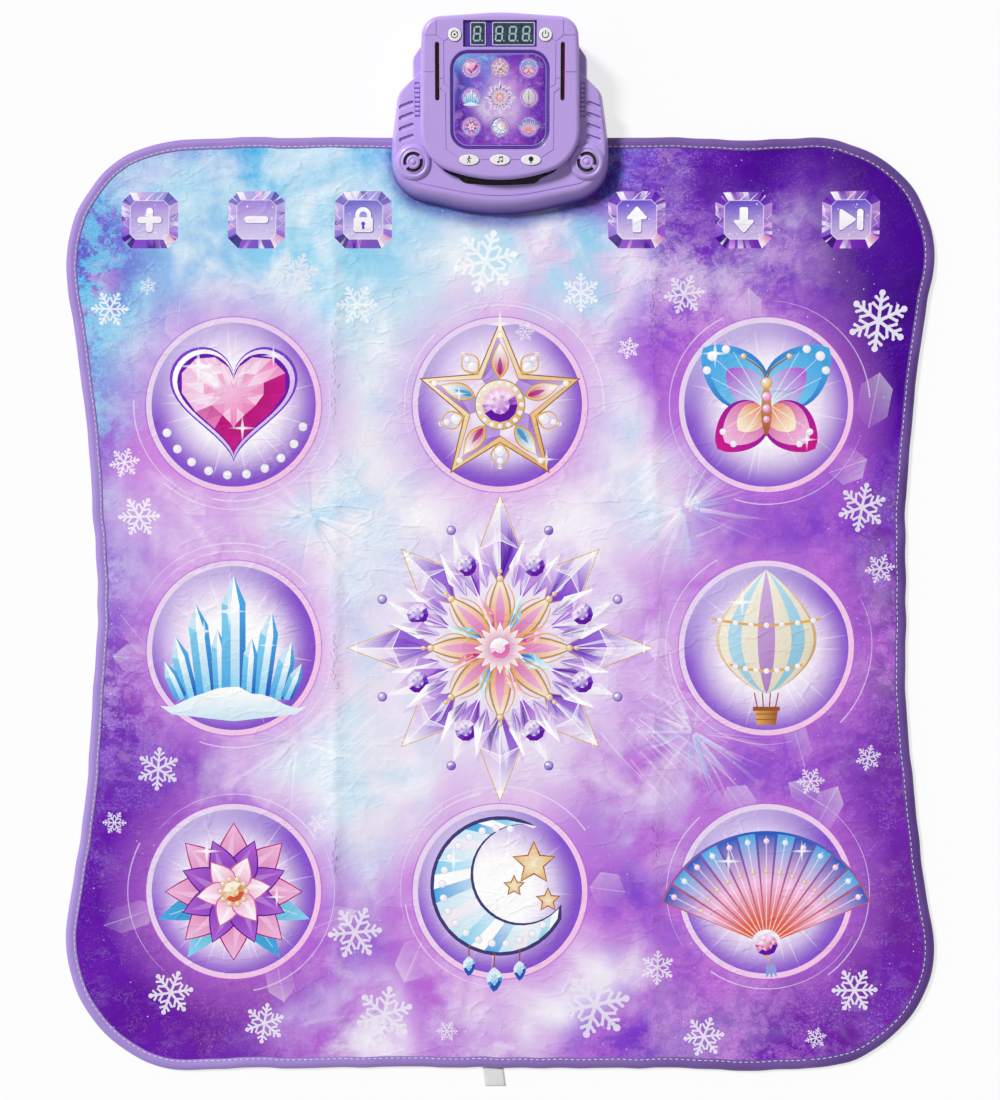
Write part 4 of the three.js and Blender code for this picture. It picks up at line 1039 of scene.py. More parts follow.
def tile(art, name, seed):
    """A half clear cut stone with a white mark on its table."""
    rng = np.random.default_rng(seed)
    outer = cut_square(tile_half - 0.2, tile_cut)
    table = cut_square(tile_half * tile_table_share, tile_half * 0.19)
    for index, (first, last, first_cover, last_cover) in enumerate(tile_facets):
        after = (index + 1) % 8
        quad = [outer[index], outer[after], table[after], table[index]]
        art.add(quad, across(quad[0], quad[1], first, last, first_cover, last_cover))
        for _ in range(3 if index % 2 == 0 else 1):
            start, width = rng.uniform(0.08, 0.75), rng.uniform(0.08, 0.2)
            lean = rng.uniform(-0.12, 0.12)
            low = [quad[0] + (quad[1] - quad[0]) * share for share in (start, start + width)]
            high = [quad[3] + (quad[2] - quad[3]) * share for share in (start + width + lean, start + lean)]
            shade = ("white", "rose", "indigo", "lilac")[rng.integers(4)]
            art.add([*low, *high], across(low[0], high[0], shade, shade, 0.75, 0.1))
    block = [(-20, 27), (-13, 27), (-9.5, 18.9), (-15.5, 18.9)]
    art.add(block, across(block[0], block[2], "white", "mist", 0.95, 0.85))
    sliver = [(-27.2, 15), (-24.6, 10.5), (-24, 2), (-27.2, 6)]
    art.add(sliver, across(sliver[0], sliver[2], "white", "lilac", 0.95, 0.4))
    for side in (-1, 1):
        zigzag = [(side * 27.2, 5.5), (side * 22, 1), (side * 25.5, -3.5), (side * 19.5, -8)]
        art.add(stroke(zigzag, 0.9, taper=0.5), flat("white", 0.6))
    for first, last in (((-4, 19), (4, 27)), ((6, 19), (13, 26.5))):
        art.add(stroke([first, last], 1.1, taper=0.4), flat("white", 0.75))
    reach = tile_half * tile_table_share
    centre = art.centre
    tone = "wisteria" if centre[0] < pale_tiles_left_of else "iris"
    art.add(table, across((0, reach), (3, -reach), tone, toned("haze", 0.1), 0.9, 0.8))
    for _ in range(9):
        spot = rng.uniform(-0.58, 0.58, 2) * tile_half
        art.add(circle(spot, rng.uniform(0.4, 1.1), 7), flat("white", rng.uniform(0.35, 0.85)))
    art.add(stroke(np.vstack([table, table[:1]]), 0.9), flat("white", 0.5))
    for offset, growth, paint in mark_layers:
        art.at(centre + offset, growth, single_set=True)
        touch_marks[name](lambda shape: art.add(shape, paint))
    art.at(centre)
    if name == "lock":
        art.add(circle((0, -4), 2.0, 12), "violet")
        art.add([(-0.9, -4.6), (0.9, -4.6), (1.4, -9), (-1.4, -9)], "violet")


# The print on the mat

ring_outer, ring_inner, ring_sides = 84.4, 79.2, 90
ring_border = 1.2
ring_arcs = (97, 93, 101)
glow_inner, glow_outer = 76, 130
motifs = {  # the figure in each ring, its scale and how strongly the ring glows
    "top_left": (heart_gem, 1.42, 0.6), "top": (star_gem, 1.32, 0.6), "top_right": (butterfly, 1.3, 0.45),
    "left": (crystal_cluster, 1.36, 0.6), "right": (balloon, 1.3, 0.4), "bottom_left": (bloom, 1.3, 0.5),
    "bottom": (moon, 1.36, 0.5), "bottom_right": (folding_fan, 1.22, 0.4),
}


def ring(art, seed, glow):
    rng = np.random.default_rng(seed)
    art.add(circle((0, 0), glow_outer, 60), around((0, 0), glow_inner, glow_outer, "glow", "glow", glow, 0.0))
    for radius in ring_arcs:
        start, reach = rng.uniform(0, 360), rng.uniform(70, 130)
        band = arc((0, 0), radius + rng.uniform(-1, 1), start, start + reach, 36)
        art.add(stroke(band, 1.4, taper=0.2), flat("white", 0.42))
    art.add(circle((0, 0), ring_outer + ring_border, ring_sides), flat("orchid", 0.6))
    art.add(circle((0, 0), ring_outer, ring_sides),
            across((-70, 50), (60, -60), toned("haze", 0.25), toned("rose", 0.1)))
    inside = circle((0, 0), ring_inner, ring_sides)
    art.add(inside, around((0, 0), 30, ring_inner, "white", "lilac"))
    lit = tip_of(5, rng.uniform(0, 360))
    for inner, cover in ((46, 0.6), (60, 0.75)):
        art.add(inside, around(lit, inner, ring_inner, "violet", "violet", 0.0, cover))
    art.add(inside, across(tip_of(78, 118), tip_of(20, 118), "white", "white", 0.4, 0.0))
    for index in range(26):
        ray = petal(rng.uniform(40, 74), 2.6, index * 14 + rng.uniform(-5, 5), 8)
        art.add(ray, flat("white", 0.3))


def faint_crystal(art, seed):
    rng = np.random.default_rng(seed)
    for _ in range(3):
        centre = tip_of(rng.uniform(84, 108), rng.uniform(0, 360))
        width, length, turn = rng.uniform(20, 34), rng.uniform(34, 60), rng.uniform(0, 360)
        half = [(-width / 2, -length / 4), (0, -length / 2), (width / 2, -length / 4)]
        shape = turned(np.vstack([half, np.negative(half)]), turn) + centre
        art.add(shape, across(shape[0], shape[3], "white", "lilac", 0.34, 0.08))
        art.add(stroke([shape[1], shape[4]], 0.8), flat("white", 0.3))


wisp_angles = (36, 144, 217, 323)


def wisps(art):
    """Fine light streaks that fan out between the pads on the diagonals."""
    rng = np.random.default_rng(61)
    for angle in wisp_angles:
        for _ in range(30):
            turn = angle + rng.normal(0, 8)
            start, length = rng.uniform(150, 205), rng.uniform(30, 95)
            bend = rng.uniform(-9, 9)
            share = np.linspace(0, 1, 7)
            line = np.column_stack([start + length * share, bend * share ** 2])
            colour = ("white", "white", "white", "ice")[rng.integers(4)]
            paint = flat(colour, rng.uniform(0.12, 0.32))
            art.add(stroke(turned(line, turn), rng.uniform(0.7, 2.6), taper=0.1), paint)


burst_places = [((178, 92), 32), ((-182, 84), 150), ((-196, -132), 216), ((186, -124), 318)]
burst_tones = [("white", 0.5), ("white", 0.42), ("ice", 0.55), ("sky", 0.34), ("slate", 0.14)]


def bursts(art):
    """Fans of light splinters, like frost, between the pads."""
    rng = np.random.default_rng(64)
    for centre, lean in burst_places:
        for _ in range(64):
            turn = lean + rng.normal(0, 34) + (180 if rng.uniform() < 0.35 else 0)
            start, length, width = rng.uniform(0, 16), rng.uniform(22, 88), rng.uniform(0.8, 6.4)
            end = start + length
            line = np.array([(start, 0), (start + length * 0.5, rng.uniform(-3, 3)), (end, 0)])
            colour, cover = burst_tones[rng.integers(5)]
            paint = across(line[0], (end, 0), colour, colour, cover * rng.uniform(0.5, 1.1), 0.04)
            ends = (0.15, 1.0) if rng.uniform() < 0.5 else (1.0, 0.1)
            side = outward(line, False) * (np.linspace(*ends, 3) * width / 2)[:, None]
            art.at(centre, 1.0, turn)
            art.add(np.vstack([line + side, (line - side)[::-1]]), paint)
    art.at((0, 0))


crease_mark_front, crease_mark_rear, crease_mark_step = 40, 60, 3


def crease_marks(art):
    """Short dark marks along the two folds."""
    rng = np.random.default_rng(66)
    for place, _, seed in crease_places:
        for y in np.arange(-half_length + crease_mark_front, half_length - crease_mark_rear, crease_mark_step):
            patchy = float(smoothstep(smooth_noise(y, 0, crease_fade_length, seed + 5), 0.0, 0.7))
            if rng.uniform() > patchy:
                continue
            # Dark slate marks along the fold, more and deeper in some stretches.
            x = float(crease_line(y, place, seed)) + rng.normal(0, 1.6)
            length, lean = rng.uniform(2, 6), rng.normal(0, 1.3)
            mark = [(x, y), (x + lean * 0.6, y + length * 0.5), (x + lean, y + length)]
            art.add(stroke(mark, rng.uniform(0.5, 1.5), taper=0.3), flat("slate", 0.5 * patchy))


flakes = [  # place, radius, turn, cover
    ((-196, 318), 20, 10, 0.8), ((-340, 306), 8, 24, 0.6), ((-138, 288), 19, 0, 0.7),
    ((-14, 330), 30, 14, 0.75), ((78, 300), 18, 30, 0.7), ((24, 262), 9, 4, 0.55),
    ((178, 298), 19, 8, 0.85), ((124, 246), 10, 20, 0.75), ((366, 272), 29, 22, 0.95),
    ((-376, 284), 17, 0, 0.75), ((-362, 136), 14, 12, 0.75), ((-348, 84), 19, 2, 0.75),
    ((350, 92), 23, 18, 0.85), ((366, 32), 14, 6, 0.8), ((-372, -212), 11, 0, 0.7),
    ((-330, -160), 20, 26, 0.85), ((356, -150), 12, 16, 0.8), ((300, -172), 13, 3, 0.8),
    ((-318, -376), 21, 8, 0.9), ((-228, -406), 19, 20, 0.9), ((-140, -318), 25, 5, 0.85),
    ((-112, -398), 27, 18, 0.85), ((-52, -414), 10, 0, 0.8), ((92, -388), 32, 12, 0.8),
    ((152, -352), 16, 28, 0.85), ((196, -418), 19, 8, 0.9), ((304, -420), 10, 14, 0.85),
    ((342, -374), 21, 0, 0.9), ((-176, -212), 9, 11, 0.5), ((186, 96), 8, 9, 0.5),
]


def mat_print():
    art = Print()
    wisps(art)
    bursts(art)
    ringed = [name for name in step_pad_names if name != "step_pad_centre"]
    for index, name in enumerate(ringed):
        art.at(pad_centre(name))
        faint_crystal(art, index)
        ring(art, 20 + index, motifs[name.removeprefix("step_pad_")][2])
    for flake_values in flakes:
        flake(art, *flake_values)
    rosette(art.at(pad_centre("step_pad_centre")))
    for name in ringed:
        motif, scale, _ = motifs[name.removeprefix("step_pad_")]
        motif(art.at(pad_centre(name), scale))
    for index, name in enumerate(touch_pad_names):
        tile(art.at(pad_centre(name)), name.removeprefix("touch_pad_"), index + 70)
    art.at((0, 0))
    crease_marks(art)
    return art


# The washes under the print: place shares of the mat's half sizes, reach share, the two colours
# that run into each other there, how much of it is white cloud and how much is grain

washes = [
    (-0.92, 0.84, 0.09, "iris", "aqua", 0.05, 1.2), (-0.97, 0.54, 0.08, "iris", "aqua", 0.05, 1.2),
    (-0.97, 0.26, 0.08, "iris", "periwinkle", 0.1, 1.1), (-0.96, 0.02, 0.09, "iris", "lilac", 0.05, 1.2),
    (-0.93, -0.22, 0.11, "grape", "lilac", 0.05, 1.2), (0.66, 0.80, 0.08, "violet", "lilac", 0.6, 1.0),
    (-0.80, 0.93, 0.07, "periwinkle", "sky", 0.2, 1.0), (-0.97, 0.70, 0.06, "iris", "aqua", 0.1, 1.2),
    (-1.02, 0.98, 0.16, "iris", "aqua", 0.1, 1.1), (-0.76, 0.98, 0.18, "periwinkle", "sky", 0.3, 0.4),
    (-0.44, 0.97, 0.18, "aqua", "ice", 0.5, 0.2), (-0.22, 0.90, 0.14, "azure", "sky", 0.3, 0.6),
    (-0.98, 0.66, 0.13, "iris", "aqua", 0.1, 1.1), (-0.74, 0.70, 0.20, "sky", "ice", 0.9, 0.1),
    (-0.36, 0.70, 0.18, "sky", "ice", 0.9, 0.1), (-0.04, 0.70, 0.18, "ice", "mist", 0.9, 0.0),
    (0.22, 0.72, 0.12, "sky", "haze", 0.9, 0.3), (0.28, 0.98, 0.10, "violet", "periwinkle", 0.3, 0.7),
    (0.44, 0.94, 0.12, "grape", "violet", 0.1, 0.9), (0.72, 0.97, 0.20, "indigo", "royal", 0.0, 0.08),
    (0.44, 0.72, 0.12, "violet", "lilac", 0.5, 1.0), (0.70, 0.72, 0.13, "violet", "lilac", 0.6, 0.5),
    (1.00, 0.80, 0.24, "indigo", "night", 0.0, 0.05), (0.42, 0.50, 0.14, "amethyst", "orchid", 0.2, 0.4),
    (0.98, 0.46, 0.18, "indigo", "royal", 0.0, 0.12), (-1.00, 0.42, 0.12, "violet", "aqua", 0.3, 1.0),
    (-0.88, 0.52, 0.10, "sky", "ice", 0.6, 0.4), (-0.72, 0.44, 0.20, "glow", "haze", 0.3, 0.1),
    (-0.30, 0.44, 0.20, "mist", "ice", 0.5, 0.0), (0.04, 0.42, 0.22, "mist", "haze", 0.5, 0.0),
    (0.26, 0.34, 0.12, "mist", "ice", 0.6, 0.0), (-0.98, 0.18, 0.13, "violet", "periwinkle", 0.2, 0.9),
    (-0.72, 0.12, 0.18, "lilac", "haze", 0.6, 0.1), (-0.40, 0.20, 0.16, "mist", "ice", 0.5, 0.0),
    (0.00, 0.06, 0.30, "white", "haze", 0.3, 0.0), (0.36, 0.18, 0.14, "haze", "ice", 0.6, 0.0),
    (0.66, 0.22, 0.15, "violet", "orchid", 0.1, 0.3), (0.96, 0.18, 0.14, "plum", "violet", 0.1, 0.6),
    (-0.98, -0.10, 0.14, "violet", "periwinkle", 0.2, 0.8), (-0.64, -0.10, 0.18, "lilac", "haze", 0.6, 0.1),
    (-0.34, -0.14, 0.18, "mist", "ice", 0.5, 0.0), (0.38, -0.10, 0.16, "orchid", "lilac", 0.2, 0.0),
    (0.68, -0.12, 0.18, "violet", "orchid", 0.2, 0.3), (0.98, -0.12, 0.16, "plum", "orchid", 0.2, 0.8),
    (-1.00, -0.32, 0.18, "grape", "violet", 0.05, 0.6), (-0.64, -0.30, 0.15, "violet", "lilac", 0.6, 0.3),
    (-0.34, -0.38, 0.18, "mist", "ice", 0.5, 0.1), (0.02, -0.36, 0.16, "haze", "mist", 0.4, 0.0),
    (0.37, -0.44, 0.14, "haze", "orchid", 0.4, 0.1), (0.70, -0.38, 0.16, "violet", "orchid", 0.1, 0.5),
    (0.98, -0.44, 0.18, "plum", "grape", 0.0, 0.4), (-0.94, -0.70, 0.26, "grape", "royal", 0.0, 0.3),
    (-0.46, -0.66, 0.16, "violet", "orchid", 0.2, 0.4), (-0.06, -0.64, 0.14, "orchid", "lilac", 0.3, 0.1),
    (0.32, -0.66, 0.16, "violet", "orchid", 0.15, 0.3), (0.70, -0.62, 0.14, "violet", "orchid", 0.2, 0.5),
    (0.96, -0.76, 0.22, "plum", "grape", 0.0, 0.3), (-0.74, -0.96, 0.20, "grape", "plum", 0.0, 0.4),
    (-0.42, -0.96, 0.12, "lilac", "orchid", 0.6, 0.3), (-0.30, -0.86, 0.08, "white", "lilac", 0.9, 0.0),
    (-0.08, -0.98, 0.14, "orchid", "lilac", 0.5, 0.3), (0.10, -0.90, 0.09, "mist", "haze", 0.8, 0.0),
    (0.24, -0.86, 0.08, "white", "mist", 0.9, 0.0), (0.36, -0.98, 0.12, "violet", "orchid", 0.2, 0.4),
    (0.64, -0.92, 0.20, "grape", "orchid", 0.1, 0.6), (0.92, -1.00, 0.16, "plum", "grape", 0.2, 0.7),
]
wash_warp = 30
wash_warp_size = 105
far_weight = 1e-9


def washed(spots, across_share, along_share):
    """The mean of the washes at each place, the nearer ones counting more: two colours and
    whatever else each wash gives."""
    total, mixed = np.zeros(len(across_share)), 0
    for x_share, y_share, reach_share, first, second, *rest in spots:
        gap = (across_share - x_share) ** 2 + (along_share - y_share) ** 2
        weight = np.exp(-gap / reach_share ** 2) + far_weight
        total += weight
        mixed = mixed + weight[:, None] * np.sqrt([*palette[first], *palette[second], *rest])
    return (mixed / total[:, None]) ** 2


# Painted shadow: the print turns deep beside the console's foot, shifted away from the lamp.
painted_foot_shadow = 0.85
painted_foot_shadow_reach = 17
painted_foot_shadow_shift = (5, -3)


def painted_foot_shadow_at(x, y):
    """How deep the painted shadow on the print is beside the console's foot."""
    gap = np.full(len(x), np.inf)
    for spot in even_steps(rounded_loop(console_corners(foot_shares)) + painted_foot_shadow_shift, 4):
        gap = np.minimum(gap, np.hypot(x - spot[0], y - spot[1]))
    return painted_foot_shadow * (1 - smoothstep(gap, 0, painted_foot_shadow_reach))[:, None]


def wash_at(x, y):
    """The two wash colours, the cloud and the grain at each place, with a painted shadow beside the console's
    foot.
    """
    shifted = [axis + wash_warp * (smooth_noise(x, y, wash_warp_size, seed)
                                   + 0.5 * smooth_noise(x, y, wash_warp_size / 2.6, seed + 1))
               for axis, seed in ((x, 71), (y, 73))]
    values = washed(washes, shifted[0] / half_width, shifted[1] / half_length)
    # Painted shadow colours: deep indigo and ocean, with no cloud.
    deep = np.array([*palette["indigo"], *palette["ocean"], 0.0, 0.5])
    return values + (deep - values) * painted_foot_shadow_at(x, y)


def add_washes(made, values):
    """Stores the wash colours, and the cloud and grain if there are any, at the points."""
    layers = {"wash": values[:, :3], "second": values[:, 3:6]}
    if values.shape[1] > 6:
        layers["ground"] = np.pad(values[:, 6:], ((0, 0), (0, 1)))
    for key, layer in layers.items():
        attribute = made.data.attributes.new(key, "FLOAT_COLOR", "POINT")
        colours = np.pad(layer, ((0, 0), (0, 1)), constant_values=1)
        attribute.data.foreach_set("color", colours.astype(np.float32).ravel())


# Fabrics of the mat

grid_step = 6
cover_inset = 1.5
tile_swell_width = 9
normal_reach = 1.2

fold_lines = [(74, 20, 1.7, 0.8), (52, -48, 1.9, 0.6), (38, 75, 1.6, 0.45)]  # size, turn, stretch, depth


def printed_fabric():
    shader = Shader("printed_fabric", roughness=0.6)
    shader.set("Specular IOR Level", 0.06)
    times = shader.times
    ground = shader.fill(shader.node("ShaderNodeSeparateColor"), {"Color": shader.attribute("ground")})
    cloud, grain = ground.outputs["Red"], shader.math("MINIMUM", ground.outputs["Green"], 1.0)
    soft = shader.ramp(shader.noise(60, 5, 0.5, 0.3), 0.4, 0.62)
    sandy = shader.ramp(shader.noise(24, 13, 0.84, 0.15), 0.475, 0.525)
    share = shader.plus(times(sandy, grain), times(soft, shader.math("SUBTRACT", 1.0, grain)))
    wash = shader.mix(share, shader.attribute("wash"), shader.attribute("second"))
    billow = shader.ramp(shader.noise(66, 7, 0.56, 0.5), 0.45, 0.68, 0.0, 0.92)
    veil_place, grit_place = shader.stretched((1, 1.5, 1), 35), shader.stretched((1.1, 0.9, 1), 30)
    veil = shader.ramp(shader.noise(36, 12, 0.8, 0.3, veil_place), 0.52, 0.58, 0.0, 0.6)
    sand = times(shader.ramp(shader.noise(2.2, 4, 0.8), 0.5, 0.66, 0.0, 0.58),
                 shader.ramp(shader.noise(24, 5, 0.6), 0.4, 0.6))
    grit = shader.ramp(shader.noise(1.7, 3, 0.7, place=grit_place), 0.53, 0.7, 0.0, 0.5)
    dust = times(shader.ramp(shader.grains(8), 0.04, 0.1, 0.8, 0.0),
                 shader.ramp(shader.noise(40, 2), 0.5, 0.6))
    for cover, colour in ((times(cloud, billow), "white"), (times(times(grain, grain), veil), "lilac"),
                          (times(sand, grain), "haze"), (times(grain, grit), "indigo"), (dust, "white")):
        wash = shader.mix(cover, wash, palette[colour])
    ink = shader.mix(shader.attribute("ink", "Alpha"), wash, shader.attribute("ink"))
    weave = shader.weave(0.9, 0.6)
    shader.set("Base Color", shader.mix(shader.ramp(weave, 0.0, 0.5, 0.05, 0.0), ink, palette["night"]))
    shader.set("Roughness", shader.ramp(shader.noise(18, 3), 0.3, 0.7, 0.5, 0.66))
    crumple = shader.plus(shader.noise(9, 5, 0.55, 0.4), times(weave, 0.05))
    for size, turn, stretch, depth in fold_lines:
        folds = shader.noise(size, 3, 0.5, 0.25, shader.stretched((1, stretch, 1), turn))
        gap = shader.math("ABSOLUTE", shader.math("SUBTRACT", folds, 0.5))
        patch = shader.ramp(shader.noise(size * 1.6, 2), 0.42, 0.62)
        crumple = shader.plus(crumple, times(shader.ramp(gap, 0.0, 0.045, depth, 0.0), patch))
    shader.bump(crumple, 0.8, 0.65)
    return shader.material


def tile_depth(x, y, centre):
    """How far a place lies inside a touch pad's outline."""
    across_gap, along_gap = np.abs(x - centre[0]), np.abs(y - centre[1])
    slanted = (2 * tile_half - tile_cut - across_gap - along_gap) / math.sqrt(2)
    return np.minimum(np.minimum(tile_half - across_gap, tile_half - along_gap), slanted)


pad_outlines = {
    **{name: circle(pad_centre(name), pad_radius, ring_sides) for name in step_pad_names},
    **{name: cut_square(tile_half, tile_cut) + pad_centre(name) for name in touch_pad_names},
}


def top_height(x, y):
    """The height of the printed surface, pads included."""
    height = mat_top + lie(x, y)
    for name in step_pad_names:
        centre = pad_centre(name)
        height += pad_swell(np.hypot(x - centre[0], y - centre[1]))
    for name in touch_pad_names:
        height += pad_rise * smoothstep(tile_depth(x, y, pad_centre(name)), 0, tile_swell_width)
    return height


def cut_out(name, chosen, triangles, ink, looks, material):
    """One piece of the printed surface."""
    used, faces = np.unique(triangles[chosen], return_inverse=True)
    points, normals, wash = (values[used] for values in looks)
    made = mesh_object(name, points, faces.reshape(-1, 3), material)
    add_ink(made, ink[chosen])
    add_washes(made, wash)
    made.data.normals_split_custom_set_from_vertices(normals.tolist())
    return made


def printed_surface():
    across_places = np.arange(-half_width, half_width, grid_step)
    along_places = np.arange(-half_length, half_length, grid_step)
    x, y = np.meshgrid(across_places, along_places)
    x = x + (np.arange(len(along_places)) % 2 * grid_step / 2)[:, None]
    inside = edge_distance(x, y) > grid_step
    spread = np.column_stack([x[inside], y[inside]])
    rim, cells = mat_outline(cover_inset, grid_step), list(pad_outlines.values())
    places, triangles, ink, cell = printed_map(mat_print(), rim, cells, spread)
    x, y = places.T
    height = top_height(x, y)
    slopes = [(top_height(x + dx, y + dy) - top_height(x - dx, y - dy)) / (2 * normal_reach)
              for dx, dy in ((normal_reach, 0), (0, normal_reach))]
    normals = np.column_stack([-slopes[0], -slopes[1], np.ones(len(x))])
    normals /= np.linalg.norm(normals, axis=1)[:, None]
    looks = (np.column_stack([sway(places), height]), normals, wash_at(x, y))
    material = printed_fabric()
    pads = []
    for index, name in enumerate(pad_outlines):
        piece = cut_out(name + "_print", cell == index, triangles, ink, looks, material)
        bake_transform(piece)
        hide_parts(name)
        pads.append(piece)
    cover = cut_out("printed_cover", cell < 0, triangles, ink, looks, material)
    finish_piece(cover, "mat", ["top_cover"])
    return cover, pads


def swept(name, outline, profile, material):
    """A closed strip along an outline. Each profile point is an inset from the outline and a
    height, which may be a function of the way along."""
    count, size, rings = len(outline), len(profile), []
    away = outward(outline)
    steps = np.hypot(*(np.roll(outline, -1, axis=0) - outline).T)
    along = np.concatenate([[0], np.cumsum(steps)[:-1]])
    for inset, height in profile:
        height = height(along) if callable(height) else np.full(count, float(height))
        rings.append(np.column_stack([outline - away * inset, height]))
    points = np.stack(rings, axis=1).reshape(-1, 3)
    faces = []
    for row in range(count):
        here, after = row * size, (row + 1) % count * size
        for column in range(size):
            beside = (column + 1) % size
            faces.append((here + column, after + column, after + beside, here + beside))
    return mesh_object(name, points, faces, material)


binding_width = 11
binding_top = mat_high[2]
binding_crown = 0.8
binding_step = 2.4
# The binding's colour at the left edge is painted light, and at the right it is painted shade.
binding_lit_and_shaded_colours = [(170, 144, 216), (80, 46, 124)]  # at the left edge and at the right
binding_light = (142, 108, 190)
pucker_length = 5.6
slack_length = 31
stitch_length = 3.6
stitch_width = 0.75
stitch_rise = 0.34
stitch_inset = 9.2
stitch_sink = 0.14


def binding_fabric():
    shader = Shader("binding_tape", palette["violet"], 0.6)
    reach = half_width * millimetre
    # Painted light and shade: the tape runs from its lit tone at the left edge to its shaded tone at the
    # right.
    tone = shader.mix(shader.ramp(shader.along("X"), -reach, reach), *map(linear_colour, binding_lit_and_shaded_colours))
    spots = shader.ramp(shader.noise(90, 3, 0.5), 0.35, 0.7, 0.0, 0.35)
    tone = shader.mix(spots, tone, linear_colour(binding_light))
    ribs = shader.stripes(0.8, "DIAGONAL", 0.4)
    shader.set("Base Color", shader.mix(shader.ramp(ribs, 0.2, 0.9, 0.16, 0.0), tone, palette["grape"]))
    shader.set("Sheen Weight", 0.2)
    shader.bump(shader.plus(ribs, shader.times(shader.noise(7, 4), 3.0)), 0.12, 0.6)
    return shader.material


def edge_binding():
    def wavy(height, amount):
        def at(along):
            pucker = np.cos(along * 2 * math.pi / pucker_length)
            slack = smooth_noise(along, along * 0, slack_length, 81)
            return height + amount * (0.5 * pucker + 0.7 * slack)
        return at

    profile = [
        (binding_width - 1.0, mat_top + 0.1), (binding_width, wavy(mat_top + 0.28, 0.1)),
        (binding_width - 0.5, wavy(binding_top - 0.15, 0.12)), (stitch_inset, wavy(binding_top - 0.18, 0.05)),
        (7.4, wavy(binding_top + 0.1, 0.16)), (5.2, wavy(binding_top + binding_crown, 0.2)),
        (3.0, wavy(binding_top + 0.12, 0.16)), (1.3, wavy(binding_top - 0.7, 0.1)),
        (0.35, wavy(binding_top - 2.0, 0.1)), (0.0, 4.0), (0.35, 2.2), (1.3, 0.95), (3.0, 0.35),
        (7.0, 0.15), (binding_width, 0.2), (binding_width - 0.2, 0.7), (2.6, 1.0), (2.0, mat_top - 0.6),
        (4.0, mat_top + 0.05)]
    piece = swept("binding", sway(mat_outline(0, binding_step)), profile, binding_fabric())
    return finish_piece(piece, "mat", ["edge_binding"])


thread_sides = 5
thread_rings = [(0.0, 0.25), (0.1, 0.85), (0.5, 1.0), (0.9, 0.85), (1.0, 0.25)]  # way along, size


def thread(start, end, width, rise):
    """A low rounded thread between two points of the surface: points and faces."""
    start, end = np.array(start), np.array(end)
    way = (end - start) / np.linalg.norm(end - start)
    side = np.cross((0, 0, 1), way)
    points, faces = [], []
    for share, size in thread_rings:
        centre = start + (end - start) * share
        for angle in np.linspace(0, math.pi, thread_sides):
            lift = (0, 0, math.sin(angle) * rise * size)
            points.append(centre + side * math.cos(angle) * width / 2 * size + lift)
    last = len(points) - thread_sides
    for row in range(0, last, thread_sides):
        for first in range(row, row + thread_sides - 1):
            faces.append((first, first + thread_sides, first + thread_sides + 1, first + 1))
    faces.append(tuple(range(thread_sides)))
    faces.append(tuple(range(len(points) - 1, last - 1, -1)))
    return points, faces


def gather(parts):
    points, faces = [], []
    for some_points, some_faces in parts:
        faces += [tuple(corner + len(points) for corner in face) for face in some_faces]
        points += [tuple(point) for point in some_points]
    return points, faces


def binding_stitches():
    shader = Shader("stitch_thread", (0.9, 0.88, 0.95), 0.7)
    twist = shader.stripes(0.35, "DIAGONAL")
    shader.two_tone(shader.ramp(twist, 0.3, 0.8), (206, 190, 232), (255, 255, 255))
    shader.bump(twist, 0.08)
    line = sway(mat_outline(stitch_inset, pucker_length / 2))
    height = binding_top - stitch_sink
    parts = []
    for start, end in zip(line[:-1:2], line[1::2]):
        middle, half = (start + end) / 2, (end - start) / 2
        half = half / np.hypot(*half) * stitch_length / 2
        ends = (*(middle - half), height), (*(middle + half), height)
        parts.append(thread(*ends, stitch_width, stitch_rise))
    piece = mesh_object("binding_stitches", *gather(parts), shader.material)
    return finish_piece(piece, "mat")


def slab(name, outline, holes, low, high, material, placed_by=None):
    """A flat layer with holes."""
    places, faces, owners = divided([outline, *holes])
    flat_faces = [face for face, owner in zip(faces, owners) if owner == [0]]
    count = len(places)
    all_points = np.vstack([level(places, high), level(places, low)])
    all_faces = [*flat_faces, *([corner + count for corner in face[::-1]] for face in flat_faces)]
    edges = dict.fromkeys(edge for face in flat_faces for edge in zip(face, [*face[1:], face[0]]))
    for first, second in edges:
        if (second, first) not in edges:
            all_faces.append((second, first, first + count, second + count))
    return flat_shading(mesh_object(name, all_points, all_faces, material, placed_by))


backing_inset, backing_step, backing_gap = 2.2, 9, 0.4
dot_spacing = 19
dot_margin = 22
dot_border, dot_rear = 24, 20
dot_foot, dot_top, dot_sides = 2.2, 1.3, 8
dot_heights = (0.42, 0.02)


